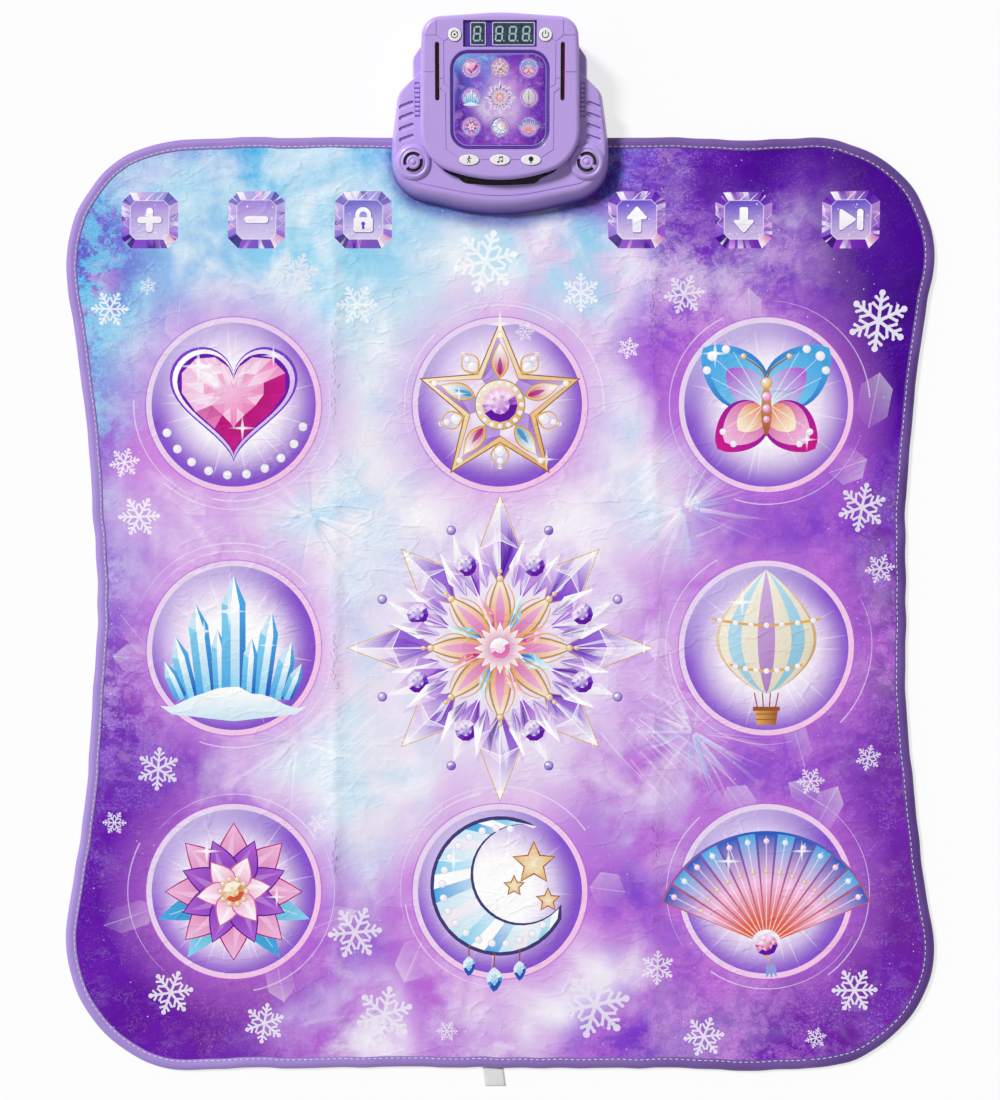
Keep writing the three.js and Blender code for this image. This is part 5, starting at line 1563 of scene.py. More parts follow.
def grip_backing():
    low, high = node_box("nonslip_backing")
    shader = Shader("backing_fabric", linear_colour((58, 54, 66)), 0.9)
    fibre = shader.noise(1.6, 5, 0.7, place=shader.stretched((1, 3, 1), 20))
    dark, light, patchy = map(linear_colour, ((48, 44, 56), (78, 72, 90), (40, 38, 46)))
    tone = shader.mix(shader.ramp(fibre, 0.35, 0.65), dark, light)
    shader.set("Base Color", shader.mix(shader.ramp(shader.noise(50, 3), 0.4, 0.7, 0.0, 0.3), tone, patchy))
    shader.bump(fibre, 0.25, 0.7)
    outline = mat_outline(backing_inset, backing_step)
    backing = slab("grip_backing", outline, [], low[2] + backing_gap, high[2], shader.material)
    finish_piece(backing, "mat", ["nonslip_backing"])
    rubber = Shader("grip_rubber", linear_colour((34, 32, 38)), 0.55)
    rubber.bump(rubber.noise(1.0, 3), 0.05)
    parts = []
    for row, y in enumerate(np.arange(-half_length + dot_border, half_length - dot_rear, dot_spacing)):
        first = -half_width + dot_border + row % 2 * dot_spacing / 2
        for x in np.arange(first, half_width - dot_border, dot_spacing):
            if edge_distance(np.array([x]), np.array([y]))[0] > dot_margin:
                foot, top = (level(circle((x, y), radius, dot_sides), low[2] + height)
                             for radius, height in zip((dot_foot, dot_top), dot_heights))
                faces = [(k, k + dot_sides, (k + 1) % dot_sides + dot_sides, (k + 1) % dot_sides)
                         for k in range(dot_sides)]
                parts.append(([*foot, *top], [*faces, tuple(range(2 * dot_sides - 1, dot_sides - 1, -1))]))
    dots = mesh_object("grip_dots", *gather(parts), rubber.material)
    finish_piece(dots, "mat")
    return backing, dots


foam_inset, foam_step, foam_gap = 4.5, 12, 0.02
foam_hole_step = 9
foam_hole_share = 0.985


def foam_layers():
    shader = Shader("foam", linear_colour((238, 236, 242)), 0.95)
    cells = shader.grains(1.4)
    shader.two_tone(shader.ramp(cells, 0.1, 0.6), (206, 204, 214), (244, 243, 247))
    shader.bump(cells, 0.4, 0.8)
    holes = [even_steps(outline, foam_hole_step) for outline in pad_outlines.values()]
    holes = [(hole - hole.mean(axis=0)) * foam_hole_share + hole.mean(axis=0) for hole in holes]
    pieces = []
    for name, cut in (("cushion_foam", []), ("spacer_foam", holes)):
        low, high = node_box(name)
        piece = slab(name + "_layer", mat_outline(foam_inset, foam_step), cut, low[2] + foam_gap,
                     high[2] - foam_gap, shader.material)
        pieces.append(finish_piece(piece, "mat", [name]))
    return pieces


label_white, label_grey = (234, 234, 232), (196, 196, 196)
label_thread = 0.5
label_columns, label_rows = 10, 12
label_lean = 2.4
label_curl = 0.6
label_thickness = 0.3


def label_cloth():
    shader = Shader("label_fabric", linear_colour(label_white), 0.8)
    weave = shader.weave(label_thread, 0.5)
    white, grey = linear_colour(label_white), linear_colour(label_grey)
    tone = shader.mix(shader.ramp(weave, 0.0, 0.6, 0.5, 0.0), white, grey)
    shader.set("Base Color", shader.mix(shader.ramp(shader.noise(22, 4), 0.35, 0.7, 0.0, 0.35), tone, grey))
    shader.set("Sheen Weight", 0.25)
    shader.bump(weave, 0.11, 0.7)
    return shader.material


def care_label():
    low, high = node_box("care_label")
    points, faces = [], []
    for row in range(label_rows + 1):
        fall = row / label_rows
        for column in range(label_columns + 1):
            share = column / label_columns
            curl = label_curl * math.sin(2.2 * share + 0.6) * fall ** 1.5
            points.append((low[0] + (high[0] - low[0]) * share + label_lean * fall,
                           high[1] + (low[1] - high[1]) * fall, (low[2] + high[2]) / 2 + curl))
    across_points = label_columns + 1
    for row in range(label_rows):
        for first in range(row * across_points, row * across_points + label_columns):
            faces.append((first, first + across_points, first + across_points + 1, first + 1))
    piece = mesh_object("care_label_tab", points, faces, label_cloth())
    piece.modifiers.new("thickness", "SOLIDIFY").thickness = label_thickness * millimetre
    return finish_piece(piece, "mat", ["care_label"]), (high - low)[:2] * millimetre


def floor():
    shader = Shader("floor", floor_colour[:3], 0.9)
    glow = shader.fill(shader.node("ShaderNodeEmission"), {"Color": (1, 1, 1, 1), "Strength": 1.0})
    path = shader.node("ShaderNodeLightPath")
    seen = shader.math("MAXIMUM", path.outputs["Is Camera Ray"], shader.math(
        "MAXIMUM", path.outputs["Is Glossy Ray"], path.outputs["Is Transmission Ray"]))
    mixer = shader.fill(shader.node("ShaderNodeMixShader"), {
        0: shader.times(seen, floor_glow), 1: shader.bsdf.outputs[0], 2: glow.outputs[0]})
    shader.tree.links.new(mixer.outputs[0], shader.tree.nodes["Material Output"].inputs["Surface"])
    corners = level(rectangle((0, 0), 2 * floor_half, 2 * floor_half), -floor_drop)
    mesh_object("floor", corners, [(0, 1, 2, 3)], shader.material)


# Console: the frame of its sloping deck, with x across, v up the slope and n off the deck

console_width = 209.6
console_front = 374.3
console_depth = 178.2
console_corner = 38
console_wall = 2.5
console_floor = 1.6
deck_tilt = 10
deck_front = 386.6
deck_front_height = 26
shoulder_step = 4
head_width = 151.6
head_length = 151.459
head_front = 17
head_corner = 40
head_height = 13
head_wall = 2.4
head_rim = 5
head_fillet = 4.4
head_ceiling = head_height - head_wall

deck = (Matrix.Translation(Vector((0, deck_front, deck_front_height)) * millimetre)
        @ Matrix.Rotation(math.radians(deck_tilt), 4, "X"))

# Corners from the front centre to the rear centre: shares of half the width, of the depth and
# of the corner radius

foot_shares = [(0, -0.031, 5.2), (1, 0.112, 1), (1, 0.369, 2.1), (0.94, 0.627, 0.37),
               (0.706, 0.745, 0.1), (0.69, 1, 0.42)]
deck_shares = [(0, 0.047, 5.2), (0.94, 0.155, 0.84), (0.94, 0.369, 2.1), (0.887, 0.616, 0.32),
               (0.69, 0.725, 0.1), (0.673, 0.99, 0.37)]
shoulder_foot_shares = [(0.8, 0.593, 0.1), (0.8, 0.806, 0.21), (0.7, 0.879, 0.1), (0.69, 1, 0.42)]
shoulder_top_shares = [(0.77, 0.6, 0.1), (0.77, 0.795, 0.18), (0.68, 0.868, 0.1), (0.673, 0.99, 0.37)]
head_shares = [(0, -0.043, 3.6), (1, 0.112, 1), (0.975, 0.79, 2), (0.955, 0.976, 0.45), (0, 1.008, 5)]
loop_steps = 14
least_radius = 0.3


def mirrored(corners):
    return corners + [(-x, y, radius) for x, y, radius in corners[::-1] if x > 0]


def console_corners(shares):
    return mirrored([(x * console_width / 2, console_front + y * console_depth, radius * console_corner)
                     for x, y, radius in shares])


head_corners = mirrored([(x * head_width / 2, head_front + y * head_length, radius * head_corner)
                         for x, y, radius in head_shares])


def rounded_loop(corners, inset=0.0, steps=loop_steps):
    """Moves each side of a loop inward, then rounds its corners as far as there is room."""
    spots, bends = np.array([corner[:2] for corner in corners]), []
    for index, (x, y, corner_size) in enumerate(corners):
        here = np.array((x, y))
        into, out = here - spots[index - 1], spots[(index + 1) % len(spots)] - here
        into, out = into / np.hypot(*into), out / np.hypot(*out)
        into_normal, out_normal = np.array((-into[1], into[0])), np.array((-out[1], out[0]))
        turn = math.atan2(into[0] * out[1] - into[1] * out[0], into @ out)
        spot = here + (into_normal + out_normal) * inset / (1 + into_normal @ out_normal)
        radius = max(corner_size - inset * np.sign(turn), least_radius)
        bends.append((spot, into, into_normal, turn, radius, radius * math.tan(abs(turn) / 2)))
    pieces = []
    for index, (spot, into, into_normal, turn, radius, reach) in enumerate(bends):
        room = [np.hypot(*(spot - other[0])) / (reach + other[5])
                for other in (bends[index - 1], bends[(index + 1) % len(bends)])]
        share = min(1, *room)
        bend = radius * share
        centre = spot - into * reach * share + into_normal * bend * np.sign(turn)
        start = math.degrees(math.atan2(-into_normal[1] * turn, -into_normal[0] * turn))
        pieces.append(arc(centre, bend, start, start + math.degrees(turn), steps))
    return np.vstack(pieces)


def loft(rings):
    """A closed body through rings of equally many points, with flat ends."""
    size = len(rings[0])
    points = np.vstack(rings)
    faces = [tuple(range(size))[::-1], tuple(len(points) - size + np.arange(size))]
    for row in range(len(rings) - 1):
        for step in range(size):
            after = (step + 1) % size
            low, high = row * size, (row + 1) * size
            faces.append((low + step, low + after, high + after, high + step))
    return points, faces


def hoop(rings):
    """A closed frame through rings that run up its outside and down its inside."""
    points, faces = loft(rings)
    size, last = len(rings[0]), len(points) - len(rings[0])
    inner = [(step, last + step, last + (step + 1) % size, (step + 1) % size) for step in range(size)]
    return points, faces[2:] + inner


def prism(outline, low, high):
    return loft([level(outline, low), level(outline, high)])


def grown(outline, growth):
    return outline + outward(outline) * growth


def recess(outline, depth, top, lip):
    """A cutter whose mouth opens with a small rounded lip."""
    rings = [level(outline, top - depth)]
    for share in (0.0, 0.3, 0.65, 1.0):
        growth = lip * (1 - math.sqrt(max(0, 1 - share * share)))
        rings.append(level(grown(outline, growth), top - lip * (1 - share)))
    rings.append(level(grown(outline, lip), top + 2))
    return loft(rings)


def groove(line, width, depth, top=0.0):
    """A cutter along an open line, narrower at its floor."""
    line = np.array(line, float)
    inner, outer = stroke(line, width * 0.45), stroke(line, width)
    return loft([level(inner, top - depth), level(outer, top), level(outer, top + 1)])


def deck_height(y, offset):
    slope = math.radians(deck_tilt)
    return deck_front_height + (y - deck_front) * math.tan(slope) + offset / math.cos(slope)


def flanked_body(low_shares, high_shares, inset, top_offset, below=0.0, steps=loop_steps, levels=13):
    """A body from its foot up to the deck, its flank swelling outward."""
    foot = rounded_loop(console_corners(low_shares), inset, steps)
    top = rounded_loop(console_corners(high_shares), inset, steps)
    rings = []
    for angle in np.radians(np.linspace(0, 90, levels)):
        spots = foot + (top - foot) * (1 - math.cos(angle))
        rise = deck_height(spots[:, 1], top_offset) - console_floor
        rings.append(np.column_stack([spots, console_floor + rise * math.sin(angle)]))
    if below:
        rings.insert(0, level(foot, -below))
    return loft(rings)


def capsule_outline(centre, length, width, turn):
    straight, radius = (length - width) / 2, width / 2
    ends = np.vstack([arc((straight, 0), radius, -90, 90, 8), arc((-straight, 0), radius, 90, 270, 8)])
    return turned(ends, turn) + centre


lathe_sides = 56


def lathe(profile, centre):
    """A closed round body from (radius, height) points, the first and last on the axis."""
    rings = [level(circle(centre, radius, lathe_sides), height) for radius, height in profile[1:-1]]
    points, faces = loft(rings)
    low_tip, last = len(points), len(points) - lathe_sides
    points = np.vstack([points, (*centre, profile[0][1]), (*centre, profile[-1][1])])
    faces = faces[2:]
    for step in range(lathe_sides):
        after = (step + 1) % lathe_sides
        faces.append((after, step, low_tip))
        faces.append((last + step, last + after, low_tip + 1))
    return points, faces


def combine(made, parts, operation="DIFFERENCE", placed_by=None):
    """Joins closed parts to an object or cuts them from it, one after another."""
    for part in parts:
        other = mesh_object("cutter", *part, placed_by=placed_by)
        modifier = made.modifiers.new("cut", "BOOLEAN")
        modifier.operation, modifier.solver, modifier.object = operation, "MANIFOLD", other
        evaluated = made.evaluated_get(bpy.context.evaluated_depsgraph_get())
        mesh = bpy.data.meshes.new_from_object(evaluated)
        made.modifiers.clear()
        made.data = mesh
        bpy.data.objects.remove(other)
    return made


sharp_angle = 32


def smooth_shading(made):
    """Rounded surfaces shade smoothly, and flat faces beside them stay flat."""
    made.data.polygons.foreach_set("use_smooth", [True] * len(made.data.polygons))
    made.data.set_sharp_from_angle(angle=math.radians(sharp_angle))
    made.modifiers.new("shading", "WEIGHTED_NORMAL").keep_sharp = True
    return made


# Plastics


def moulded(name, colour, roughness, grain=0.5, tint=0.12, foot=None, **sockets):
    """Moulded plastic with a fine spark-eroded grain and slightly uneven gloss, and a painted shade toward
    its foot if one is given."""
    shader = Shader(name, linear_colour(colour), roughness, **sockets)
    uneven = shader.ramp(shader.noise(30, 3), 0.3, 0.7, 0.0, tint)
    darker = tuple(np.array(linear_colour(colour)) * 0.8)
    tone = shader.mix(uneven, linear_colour(colour), darker)
    if foot:
        # Painted shade: low on the flank the tone turns toward the foot colour, most toward the front.
        low, high, near, far = (place * millimetre for place in (*painted_shade_heights, *painted_shade_fade))
        share = shader.times(shader.ramp(shader.along("Z"), low, high, painted_shade_cover, 0.0),
                             shader.ramp(shader.along("Y"), near, far, 1.0, 0.3))
        tone = shader.mix(share, tone, linear_colour(foot))
    shader.set("Base Color", tone)
    shader.set("Roughness", shader.ramp(shader.noise(12, 4), 0.3, 0.7, roughness - 0.05, roughness + 0.07))
    shader.bump(shader.noise(grain, 3, 0.6), 0.02, 0.5)
    return shader.material


lilac_colour = (191, 163, 233)
painted_shade_heights = (7, 29)
painted_shade_fade = (400, 460)
painted_shade_cover = 0.9
lilac_plastic = moulded("lilac_plastic", lilac_colour, 0.36)
# The shell's lilac plastic, with a painted shade toward its foot.
shell_plastic_with_painted_shade = moulded("shell_plastic_with_painted_shade", lilac_colour, 0.36, foot=(84, 44, 166))


vent_inset = 16.1
vent_first, vent_spacing, vent_count = 56.2, 10.2, 4
vent_length, vent_width, vent_depth, vent_turn = 14.8, 4.0, 2.3, 19


def vent_cutters(side):
    outlines = [capsule_outline((side * (console_width / 2 - vent_inset), vent_first + index * vent_spacing),
                                vent_length, vent_width, -side * vent_turn) for index in range(vent_count)]
    return [recess(outline, vent_depth, 0, 0.5) for outline in outlines]


speaker_inset = 22.4
speaker_x, speaker_v = console_width / 2 - speaker_inset, 33.9
boss_profile = [
    (0, -2.4), (17.4, -2.4), (17.2, 0.2), (16.6, 1.3), (15.6, 2.5), (14.5, 3.2), (13.3, 3.5), (12.4, 3.2),
    (11.8, 2.8), (11.3, 2.9), (10.9, 3.2), (10.4, 3.6), (9.9, 3.9), (6.1, 4.0), (5.6, 4.4), (4.8, 4.6),
    (4.2, 4.5), (3.8, 4.1), (3.2, 4.0), (2.7, 4.3), (2.2, 4.9), (1.4, 5.3), (0.6, 5.45), (0, 5.5)]
boss_hollow = 12.6
boss_skin = 2.1
grille_outer, grille_inner, grille_span = 9.5, 6.4, 156
grille_top, grille_depth = 4.1, 8


def grille_cutters(side):
    cutters, centre = [], (side * speaker_x, speaker_v)
    for half in (0, 180):
        start = half + 12 - side * 32
        end = start + grille_span
        outline = np.vstack([arc(centre, grille_outer, start, end, 28),
                             arc(centre, grille_inner, end, start, 28)])
        cutters.append(recess(outline, grille_depth, grille_top, 0.35))
    return cutters


rib_x, rib_first, rib_last, rib_count = 78.0, 76.5, 106.0, 7
rib_width, rib_gap = 4.6, 1.3
rib_profile = [(0, -2.2), (0, 0.0), (0.15, 0.35), (0.5, 0.5)]  # inset and height
strip_width, strip_margin, strip_depth = 4.9, 2.4, 1.6
slot_front, slot_bend, slot_turn, slot_depth = 12.4, 330, 5.6, 12
slot_end = [(35.4, 15.4), (38.4, 18.5), (52.4, 25.3), (54.4, 28.8), (54.4, 30.4)]


def front_slot_outline():
    front = arc((0, slot_front + slot_bend), slot_bend, -90 - slot_turn, -90 + slot_turn, 10)
    return np.vstack([front, slot_end, np.array(slot_end[::-1]) * (-1, 1)])


def rib_teeth(side):
    """The teeth of the ribbed strip on one side of the head."""
    spacing, teeth = (rib_last - rib_first) / rib_count, []
    for index in range(rib_count):
        spot, length = (side * rib_x, rib_first + spacing * (index + 0.5)), spacing - rib_gap
        teeth.append(loft([
            level(rounded_rectangle(spot, rib_width - 2 * inset, length - 2 * inset, 0.5, 2), height)
            for inset, height in rib_profile]))
    return teeth


parting_inset = 2.6
parting_half, parting_rear = 80, 19


def parting_line():
    """The line along the deck's front, from one speaker boss to the other."""
    loop = rounded_loop(console_corners(deck_shares), parting_inset, 40)
    slope = math.cos(math.radians(deck_tilt))
    spots = np.column_stack([loop[:, 0], (loop[:, 1] - deck_front) / slope])
    front = spots[(spots[:, 1] < parting_rear) & (np.abs(spots[:, 0]) < parting_half)]
    return front[np.argsort(front[:, 0])]


wing_start = 72
wing_span = 33
wing_droop = 0.1
wing_step = 3.5
boss_rear = (432, 462)
boss_droop_share = 0.35


def drooped(made):
    """Lets the wings fall away a little toward the sides."""
    shape = bmesh.new()
    shape.from_mesh(made.data)
    wings = np.arange(wing_start, wing_start + wing_span, wing_step)
    cuts = [((side * place, 0, 0), (1, 0, 0)) for place in wings for side in (-1, 1)]
    cuts += [((0, place, 0), (0, 1, 0)) for place in np.linspace(*boss_rear, 6)]
    for place, way in cuts:
        bmesh.ops.bisect_plane(shape, geom=[*shape.verts, *shape.edges, *shape.faces],
                               plane_co=np.array(place) * millimetre, plane_no=way)
    for vertex in shape.verts:
        reach = max(abs(vertex.co.x) / millimetre - wing_start, 0) / wing_span
        share = boss_droop_share + (1 - boss_droop_share) * smoothstep(vertex.co.y / millimetre, *boss_rear)
        vertex.co.z *= 1 - wing_droop * share * reach ** 2
    shape.to_mesh(made.data)
    shape.free()
    return made


cut_floor = -20  # deep enough under the deck for a cutter
hollow_reach = 5
room_reach = 30
room_gap, room_top_gap, room_side_gap = 0.3, 1.0, 1.5
parting_width, parting_depth = 1.2, 0.8
seam_width, seam_depth = 1.0, 0.7


def console_shell():
    body = mesh_object("base_shell_body", *flanked_body(foot_shares, deck_shares, 0, 0), shell_plastic_with_painted_shade)
    combine(body, [flanked_body(shoulder_foot_shares, shoulder_top_shares, 0, -shoulder_step)], "UNION")
    combine(body, [lathe(boss_profile, (side * speaker_x, speaker_v)) for side in (-1, 1)], "UNION", deck)
    for *shares, drop in ((foot_shares, deck_shares, 0),
                          (shoulder_foot_shares, shoulder_top_shares, shoulder_step)):
        top = -drop - console_wall
        combine(body, [flanked_body(*shares, console_wall, top, below=hollow_reach, steps=6, levels=6)])
    cuts = [prism(rounded_loop(head_corners, head_rim), cut_floor, 3),
            recess(front_slot_outline(), slot_depth, 0, 0.5),
            groove(parting_line(), parting_width, parting_depth)]
    for side in (-1, 1):
        strip = rounded_rectangle((side * rib_x, (rib_first + rib_last) / 2), strip_width,
                                  rib_last - rib_first + strip_margin, 1.2, 5)
        cuts.append(recess(strip, strip_depth, 0, 0.4))
    for side in (-1, 1):
        cuts += vent_cutters(side) + grille_cutters(side)
        cuts.append(prism(circle((side * speaker_x, speaker_v), boss_hollow, 40), cut_floor, boss_skin))
    combine(body, cuts, "DIFFERENCE", deck)
    combine(body, rib_teeth(-1) + rib_teeth(1), "UNION", deck)
    rear_edge = half_length + room_gap
    for low_y, top in ((console_front - room_reach, mat_top + room_gap),
                       (half_length - binding_width - room_side_gap, binding_top + room_top_gap)):
        room = rectangle((0, (low_y + rear_edge) / 2), console_width * 2, rear_edge - low_y)
        combine(body, [prism(room, -10, top)])
    return finish_piece(smooth_shading(drooped(body)), "mat", ["base_shell"])


# Head cover

panel_width, panel_length, panel_corner = 93, 89.96, 17
panel_centre = 89.98
panel_recess = 1.6
bevel_width = 2.9
slot_x, slot_v, slot_length, slot_width = 58.7, 115.86, 53, 4
display_width, display_height, display_v = 68.6, 24, 149.86
round_x, round_v, round_diameter = 42.3, 148.86, 12.6
oval_spacing, oval_v, oval_length, oval_width = 29.2, 35.2, 19.2, 10.2
button_gap = 0.3


def oval_outline(centre, growth):
    return arc(centre, (oval_length / 2 + growth, oval_width / 2 + growth), 0, 360, 40)[:-1]


def head_grooves(side):
    lines = [
        [(59.2, 171), (59.2, 148.4), (52.3, 142.8), (52.2, 104.3), (45.2, 100.2)],
        [(59.2, 148.4), (80, 148.2)],
        [(61.6, 115.2), (80, 115.2)],
        [(55.9, 100.4), (50.8, 96.6), (50.6, 44.9), (39.4, 37.4)],
        [(52.3, 142.8), (48.3, 145.3)],
        [(52.2, 109.4), (56.0, 109.4)],
    ]
    return [np.array(line) * (side, 1) for line in lines]


def head_body():
    """The head's outer form, its upper edge rounded."""
    loops = [level(rounded_loop(head_corners, 0.0), 0.3)]
    for angle in np.radians(np.linspace(0, 90, 9)):
        inset, drop = head_fillet * (1 - math.cos(angle)), head_fillet * (1 - math.sin(angle))
        loops.append(level(rounded_loop(head_corners, inset), head_height - drop))
    return loft(loops)


tongue_inset = head_rim + 0.3
tongue_wall = 2
tongue_heights = (-4, 2.4)
opening_depth = 6
link_span = (18.6, 10.6)


def head_cover():
    body = mesh_object("head_cover_body", *head_body(), lilac_plastic, deck)
    combine(body, [prism(rounded_loop(head_corners, tongue_inset), *tongue_heights)], "UNION", deck)
    mouth = prism(rounded_loop(head_corners, tongue_inset + tongue_wall), -8, head_wall + 0.3)
    cavity = prism(rounded_loop(head_corners, head_wall), head_wall, head_ceiling)
    combine(body, [mouth, cavity], "DIFFERENCE", deck)
    panel_outline = rounded_rectangle((0, panel_centre), panel_width, panel_length, panel_corner, 12)
    window = rounded_rectangle((0, display_v), display_width, display_height, 0.6, 3)
    cuts = [recess(panel_outline, panel_recess, head_height, 1.0),
            recess(window, opening_depth, head_height, 0.35)]
    for side in (-1, 1):
        slot = capsule_outline((side * slot_x, slot_v), slot_length, slot_width, 90)
        cuts.append(recess(slot, opening_depth, head_height, 0.5))
        hole = circle((side * round_x, round_v), round_diameter / 2 + button_gap, 40)
        cuts.append(recess(hole, opening_depth, head_height, 0.45))
    for index in (-1, 0, 1):
        hole = oval_outline((index * oval_spacing, oval_v), button_gap)
        cuts.append(recess(hole, opening_depth, head_height, 0.45))
    combine(body, cuts, "DIFFERENCE", deck)
    lines = [line for side in (-1, 1) for line in head_grooves(side)]
    lines += [np.array([(side * x, oval_v) for x in link_span]) for side in (-1, 1)]
    combine(body, [groove(line, seam_width, seam_depth, head_height) for line in lines], "DIFFERENCE", deck)
    return finish_piece(smooth_shading(body), "mat", ["head_cover"])


# Display

violet_plastic = moulded("deep_violet_plastic", (84, 52, 158), 0.3, 0.6)
pale_plastic = moulded("pale_plastic", (214, 204, 240), 0.35, 0.6)
digit_top = head_height - 1.8
bezel_top = head_ceiling - 0.3
bezel_thickness, bezel_gap = 1.8, 0.3
module_gap = 0.6
modules = [("single", -20.5, 12.6, [0]), ("triple", 12.6, 37.7, [-12.6, 0, 12.6])]  # place, width, digits
module_bottom = 5.3
digit_height = 19
digit_shift = 0.8
bar_width, bar_height, bar_thick = 7.5, 13.9, 1.5
bar_gap, bar_slant = 0.22, 0.08
point_shift, point_radius = (1.15, 0.7), 0.72


def segments(centre):
    """The seven bars of a digit and its point, as outlines."""
    half = bar_thick / 2

    def bar(x, y, length, upright):
        reach = length / 2 - bar_gap
        outline = [(-reach, 0), (-reach + half, -half), (reach - half, -half), (reach, 0),
                   (reach - half, half), (-reach + half, half)]
        return turned(outline, 90 if upright else 0) + (x, y)

    side_x, side_y = (bar_width - bar_thick) / 2, (bar_height - bar_thick) / 4
    bars = [bar(0, step * side_y * 2, bar_width - bar_thick, False) for step in (-1, 0, 1)]
    bars += [bar(x * side_x, y * side_y, side_y * 2, True) for x in (-1, 1) for y in (-1, 1)]
    bars.append(circle((bar_width / 2 + point_shift[0], -bar_height / 2 + point_shift[1]), point_radius, 12))
    return [np.column_stack([shape[:, 0] + bar_slant * shape[:, 1], shape[:, 1]]) + centre for shape in bars]


def speckled(name, colour, roughness, size, detail, first, last):
    """A plain surface whose tone wavers a little."""
    shader = Shader(name, linear_colour(colour), roughness)
    shader.two_tone(shader.ramp(shader.noise(size, detail), 0.3, 0.7), first, last)
    return shader.material


def marks_of(name, outlines, low, high, material):
    """Thin printed shapes on the console."""
    parts = [loft([level(outline, low), level(outline, high)]) for outline in outlines]
    return flat_shading(mesh_object(name, *gather(parts), material, deck))


def display():
    plate = rounded_rectangle((0, display_v), display_width - bezel_gap, display_height - bezel_gap, 0.5, 2)
    holes = [rounded_rectangle((x, display_v), width + module_gap, digit_height + module_gap, 0.5, 2)
             for _, x, width, _ in modules]
    bezel = slab("display_plate", plate, holes, bezel_top - bezel_thickness, bezel_top, violet_plastic, deck)
    finish_piece(bezel, "mat", ["display_bezel"])
    glass = speckled("digit_glass", (44, 62, 74), 0.16, 6, 3, (36, 52, 64), (58, 80, 92))
    lit = speckled("digit_bars", (168, 194, 202), 0.3, 1.2, 2, (150, 178, 188), (196, 214, 220))
    for (name, x, width, digits), hole in zip(modules, holes):
        outline = rounded_rectangle((x, display_v), width, digit_height, 0.4, 2)
        rings = [level(grown(outline, -inset), height) for inset, height in (
            (0, module_bottom), (0, digit_top - 0.35), (0.12, digit_top - 0.1), (0.4, digit_top))]
        module = mesh_object(f"digit_module_{name}", *loft(rings), glass, deck)
        finish_piece(smooth_shading(module), "mat", [f"digit_display_{name}"])
        outer, inner = grown(hole, 0.75), grown(outline, 0.06)
        trim_low, trim_high = digit_top - 0.1, digit_top + 0.12
        rings = [level(outer, bezel_top), level(outer, trim_low), level(grown(outer, -0.2), trim_high),
                 level(grown(inner, 0.12), trim_high), level(inner, trim_low), level(inner, bezel_top)]
        trim = mesh_object(f"digit_frame_{name}", *hoop(rings), pale_plastic, deck)
        finish_piece(smooth_shading(trim), "mat")
        bars = [shape for digit in digits for shape in segments((x + digit - digit_shift, display_v))]
        finish_piece(marks_of(f"digit_bars_{name}", bars, digit_top - 0.02, digit_top + 0.05, lit), "mat")


# Picture panel

panel_washes = [
    (-0.9, 0.95, 0.35, "azure", "sky"), (-0.35, 0.95, 0.30, "sky", "periwinkle"),
    (0.25, 0.95, 0.35, "violet", "grape"), (0.95, 0.9, 0.4, "indigo", "grape"),
    (-1.0, 0.3, 0.30, "ocean", "indigo"), (-0.45, 0.35, 0.35, "violet", "periwinkle"),
    (0.0, 0.3, 0.3, "lilac", "haze"), (0.5, 0.4, 0.3, "violet", "orchid"),
    (1.0, 0.2, 0.35, "indigo", "grape"), (-0.9, -0.35, 0.35, "indigo", "violet"),
    (-0.2, -0.1, 0.32, "mist", "lilac"), (0.2, -0.25, 0.3, "haze", "lilac"),
    (0.7, -0.3, 0.3, "grape", "violet"), (-0.6, -0.9, 0.4, "violet", "grape"),
    (0.1, -0.95, 0.35, "violet", "orchid"), (0.9, -0.95, 0.4, "grape", "indigo"),
]
picture_spacing = (26.9, 26.6)
picture_radius = 8.4
picture_offset = 2.2
picture_scale, rosette_scale = 0.112, 0.104
panel_warp, panel_warp_size = 3.0, 16


def panel_wash_at(x, v):
    shift_x, shift_v = (panel_warp * smooth_noise(x, v, panel_warp_size, seed) for seed in (91, 92))
    across_share = (x + shift_x) / (panel_width / 2)
    along_share = (v - panel_centre + shift_v) / (panel_length / 2)
    return washed(panel_washes, across_share, along_share)


def panel_print():
    art = Print()
    middle = np.array((0, panel_centre + picture_offset))
    rosette(art.at(middle, rosette_scale))
    rim = picture_radius + 1.6
    for name, (motif, scale, _) in motifs.items():
        column = name.endswith("right") - name.endswith("left")
        row = name.startswith("top") - name.startswith("bottom")
        centre = middle + np.multiply(picture_spacing, (column, row))
        art.at(centre)
        for radius, paint in ((rim, around((0, 0), picture_radius, rim, "lilac", "lilac", 0.8, 0.0)),
                              (picture_radius, "violet"), (picture_radius - 0.5, "mist"),
                              (picture_radius - 1, around((0, 0), 2, picture_radius - 1, "white", "orchid"))):
            art.add(circle((0, 0), radius, 40), paint)
        motif(art.at(centre, scale * picture_scale))
    art.at((0, 0))
    rng = np.random.default_rng(15)
    for _ in range(46):
        spot = rng.uniform(-0.9, 0.9, 2) * (panel_width / 2, panel_length / 2) + (0, panel_centre)
        art.add(circle(spot, rng.uniform(0.12, 0.34), 6), flat("white", rng.uniform(0.3, 0.9)))
    return art


card_top = head_height - 0.5
card_bottom = 11.72
card_rim = 0.8
print_sink = 0.15
print_step = 2.0


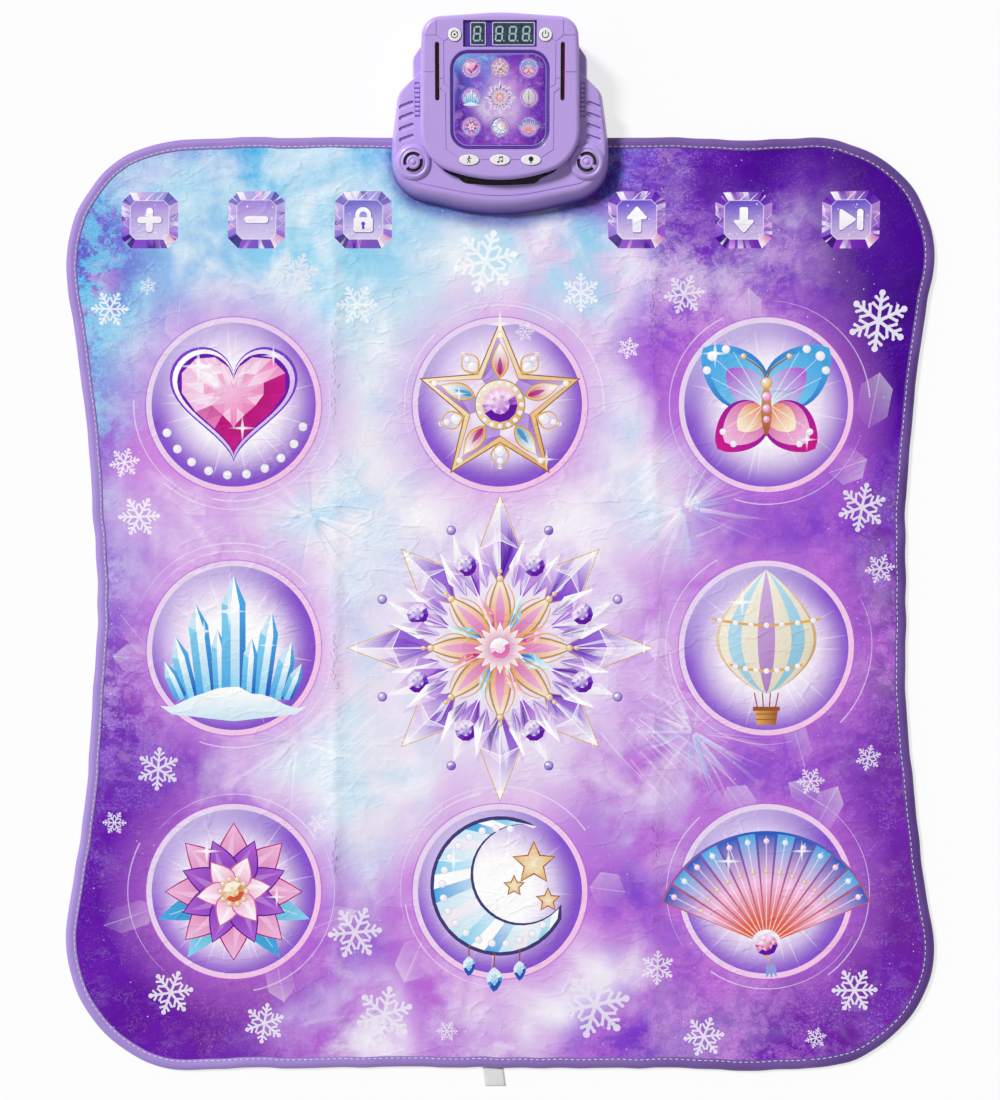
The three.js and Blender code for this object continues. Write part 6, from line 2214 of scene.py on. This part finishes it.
def panel_fabric():
    shader = Shader("panel_print", roughness=0.22, coat_weight=0.6, coat_roughness=0.06)
    share = shader.ramp(shader.noise(8, 8, 0.7, 0.3), 0.42, 0.58)
    wash = shader.mix(share, shader.attribute("wash"), shader.attribute("second"))
    cloud = shader.ramp(shader.noise(9, 6, 0.6, 0.5), 0.5, 0.72, 0.0, 0.45)
    wash = shader.mix(cloud, wash, palette["lilac"])
    shader.set("Base Color", shader.mix(shader.attribute("ink", "Alpha"), wash, shader.attribute("ink")))
    shader.bump(shader.noise(0.5, 2), 0.01, 0.4)
    return shader.material


def picture_panel():
    mouth = rounded_rectangle((0, panel_centre), panel_width, panel_length, panel_corner, 12)
    outline = grown(mouth, -bevel_width)
    low = head_height - panel_recess
    # A deep violet band between the recess wall and the card: partly a violet gasket, partly painted shade of
    # the recess.
    rings = [level(grown(mouth, growth), height) for growth, height in (
        (-0.1, low + 0.02), (-0.1, card_top), (-0.4, card_top), (0.4 - bevel_width, low + 0.35),
        (-0.4 - bevel_width, low + 0.3), (-0.4 - bevel_width, low + 0.02))]
    gasket_and_shade = mesh_object("panel_gasket_and_shade", *hoop(rings), violet_plastic, deck)
    finish_piece(smooth_shading(gasket_and_shade), "mat")
    rim_plastic = moulded("panel_rim", (176, 148, 226), 0.18, 0.8, coat_weight=0.5)
    rings = [level(grown(outline, -inset), height) for inset, height in (
        (1.5, card_bottom), (0, card_bottom), (0, card_top - 0.4), (0.12, card_top - 0.12), (0.35, card_top),
        (0.6, card_top - 0.02), (card_rim, card_top - 0.16))]
    card = mesh_object("panel_card", *loft(rings), rim_plastic, deck)
    finish_piece(smooth_shading(card), "mat", ["picture_panel"])
    rim = grown(outline, -card_rim)
    x, v = np.meshgrid(np.arange(-44, 45, print_step), panel_centre + np.arange(-43, 44, print_step))
    spread = np.column_stack([x.ravel(), v.ravel()])
    spread = spread[encloses(grown(rim, -1.0), spread)]
    places, triangles, ink, _ = printed_map(panel_print(), rim, (), spread)
    face = mesh_object("panel_picture", level(places, card_top - print_sink), triangles, panel_fabric(), deck)
    add_ink(face, ink)
    add_washes(face, panel_wash_at(*places.T))
    finish_piece(face, "mat")


# Buttons and the marks printed on them

flange_top = head_ceiling - 0.3
flange_reach, flange_thickness = 0.8, 1.6
button_bottom = flange_top - flange_thickness
button_top = head_height + 1.3
white_plastic = moulded("button_plastic", (244, 242, 246), 0.28, 0.7, 0.04, coat_weight=0.2)
mark_ink = moulded("mark_ink", (28, 26, 34), 0.35, 0.6)


def mark_ring():
    loop = arc((0, 0), 3.1, 70, 390, 30)
    arrow = turned([(-1.1, 0), (1.1, 0), (0, 1.7)], 40) + loop[-1]
    return [stroke(loop, 0.8), arrow, circle((0, 0), 1.0, 14)]


def mark_power():
    return [stroke(arc((0, 0), 3.0, 130, 410, 30), 0.85), stroke([(0, 0.4), (0, 3.9)], 0.85)]


def mark_dancer():
    arms = ([(0.1, 1.6), (1.6, 0.8), (2.4, 1.9)], [(0.1, 1.6), (-1.4, 1.0), (-1.7, -0.3)])
    legs = ([(-0.2, -0.2), (1.0, -1.6), (0.7, -3.3)], [(-0.2, -0.2), (-0.9, -1.7), (-1.9, -3.0)])
    return [circle((0.2, 2.9), 0.85, 14), stroke([(0.1, 2.2), (-0.2, -0.3)], 1.2, taper=0.8),
            *(stroke(arm, 0.6) for arm in arms), *(stroke(leg, 0.75) for leg in legs)]


def mark_notes():
    heads = [arc(centre, (1.15, 0.85), 0, 360, 18)[:-1] for centre in ((-1.5, -2.0), (1.7, -1.3))]
    stems = [stroke([(x, y), (x, y + 4.2)], 0.5) for x, y in ((-0.6, -2.0), (2.6, -1.3))]
    return [*heads, *stems, np.array([(-0.85, 1.4), (2.85, 2.1), (2.85, 3.3), (-0.85, 2.6)])]


def mark_lamp():
    globe = arc((0, 0.8), 2.3, -52, 232, 26)
    return [np.vstack([globe, [(-1.0, -1.7), (1.0, -1.7)]]), rounded_rectangle((0, -2.35), 2.0, 0.6, 0.25, 3),
            rounded_rectangle((0, -3.2), 1.6, 0.6, 0.25, 3)]


def button_cap(name, centre, outline_at, mark):
    rings = [level(outline_at(growth), height) for growth, height in (
        (flange_reach, button_bottom), (flange_reach, flange_top), (0, flange_top + 0.1),
        (0, button_top - 0.75), (-0.1, button_top - 0.42), (-0.32, button_top - 0.18),
        (-0.7, button_top - 0.04), (-1.3, button_top))]
    cap = mesh_object(name + "_cap", *loft(rings), white_plastic, deck)
    body = name.removesuffix("_button")
    finish_piece(smooth_shading(cap), body, [name])
    shapes = [shape + np.array(centre) for shape in mark()]
    finish_piece(marks_of(name + "_mark", shapes, button_top - 0.02, button_top + 0.04, mark_ink), body)


def buttons():
    for name, side, mark in (("loop_button", -1, mark_ring), ("power_button", 1, mark_power)):
        centre = (side * round_x, round_v)
        button_cap(name, centre, lambda growth: circle(centre, round_diameter / 2 + growth, 44), mark)
    for name, place, mark in (("mode_button", -1, mark_dancer), ("song_button", 0, mark_notes),
                              ("volume_button", 1, mark_lamp)):
        centre = (place * oval_spacing, oval_v)
        button_cap(name, centre, lambda growth: oval_outline(centre, growth), mark)


# Materials of the pieces that keep their modelled shape


guide_dark, guide_red_for_highlight_and_specks = (0.006, 0.002, 0.003), (0.42, 0.01, 0.03)
guide_painted_highlight_band = (-0.6, 0.4)
track_size = 6
sleeve_band = (12, 12.5)


def light_guide():
    """Dark clear plastic with red specks, and a painted red highlight along its outer edges."""
    shader = Shader("light_guide", guide_dark, 0.16)
    reach = shader.math("ABSOLUTE", shader.along("X"))
    offset = shader.math("SUBTRACT", reach, (slot_x + 1.5) * millimetre)
    # Painted highlight: a red band along the guide's outer edges.
    edge = shader.ramp(offset, *(place * millimetre for place in guide_painted_highlight_band), 0.0, 0.8)
    specks = shader.ramp(shader.noise(2.4, 3, 0.6), 0.58, 0.7, 0.0, 0.6)
    shader.set("Base Color", shader.mix(shader.math("MAXIMUM", edge, specks), guide_dark, guide_red_for_highlight_and_specks))
    return shader.material


def brushed_steel():
    shader = Shader("zinc_steel", (0.62, 0.63, 0.66), 0.3, 1.0)
    streak = shader.noise(3, 5, 0.6, place=shader.stretched((1, 9, 1)))
    tone = shader.mix(shader.ramp(streak, 0.35, 0.7), (0.5, 0.51, 0.54), (0.72, 0.73, 0.75))
    shader.set("Base Color", tone)
    shader.set("Roughness", shader.ramp(streak, 0.3, 0.7, 0.24, 0.42))
    shader.bump(streak, 0.03, 0.4)
    return shader.material


def circuit_film():
    shader = Shader("circuit_film", linear_colour((196, 202, 208)), 0.3)
    shader.two_tone(shader.ramp(shader.stripes(track_size, "Y"), 0.8, 0.9), (204, 208, 214), (96, 100, 108))
    shader.bump(shader.noise(30, 3), 0.1, 0.3)
    return shader.material


def circuit_board():
    shader = Shader("circuit_board", linear_colour((28, 96, 62)), 0.4)
    cells = shader.grains(4)
    shader.two_tone(shader.ramp(cells, 0.2, 0.5), (24, 88, 56), (44, 122, 78))
    shader.bump(cells, 0.05, 0.5)
    return shader.material


def battery_sleeve():
    shader = Shader("battery_sleeve", linear_colour((46, 92, 152)), 0.3, 0.2)
    end = shader.ramp(shader.along("X"), *(place * millimetre for place in sleeve_band))
    shader.two_tone(end, (46, 92, 152), (196, 150, 84))
    shader.bump(shader.noise(8, 2), 0.05, 0.3)
    return shader.material


def dress_kept_nodes():
    steel = brushed_steel()
    finishes = {  # the first key that a node's name holds says what it is made of
        "screw": steel, "light_guide": light_guide(), "circuit_film": circuit_film(), "clamp_plate": steel,
        "contacts": steel, "bottom_cover": lilac_plastic, "battery_door": lilac_plastic,
        "main_board": circuit_board(), "keypad_membrane": moulded("grey_rubber", (136, 138, 146), 0.8, 0.9),
        "speaker": moulded("black_plastic_parts", (40, 38, 46), 0.55, 0.7), "film_connector": white_plastic,
        "foot": moulded("foot_rubber_parts", (52, 48, 58), 0.85, 0.9), "battery_": battery_sleeve(),
    }
    for name, node in nodes.items():
        if not node.hide_render:
            node.data.materials.clear()
            node.data.materials.append(next(finish for key, finish in finishes.items() if key in name))


# All pieces

floor()
top_print, pad_prints = printed_surface()
binding = edge_binding()
stitches = binding_stitches()
bottom_sheet, grips = grip_backing()
foams = foam_layers()
console_shell()
head_cover()
display()
picture_panel()
buttons()
label, label_size = care_label()
dress_kept_nodes()

mat_area = polygon_area(*mat_outline(0).T) * millimetre ** 2
tuple(label_size)
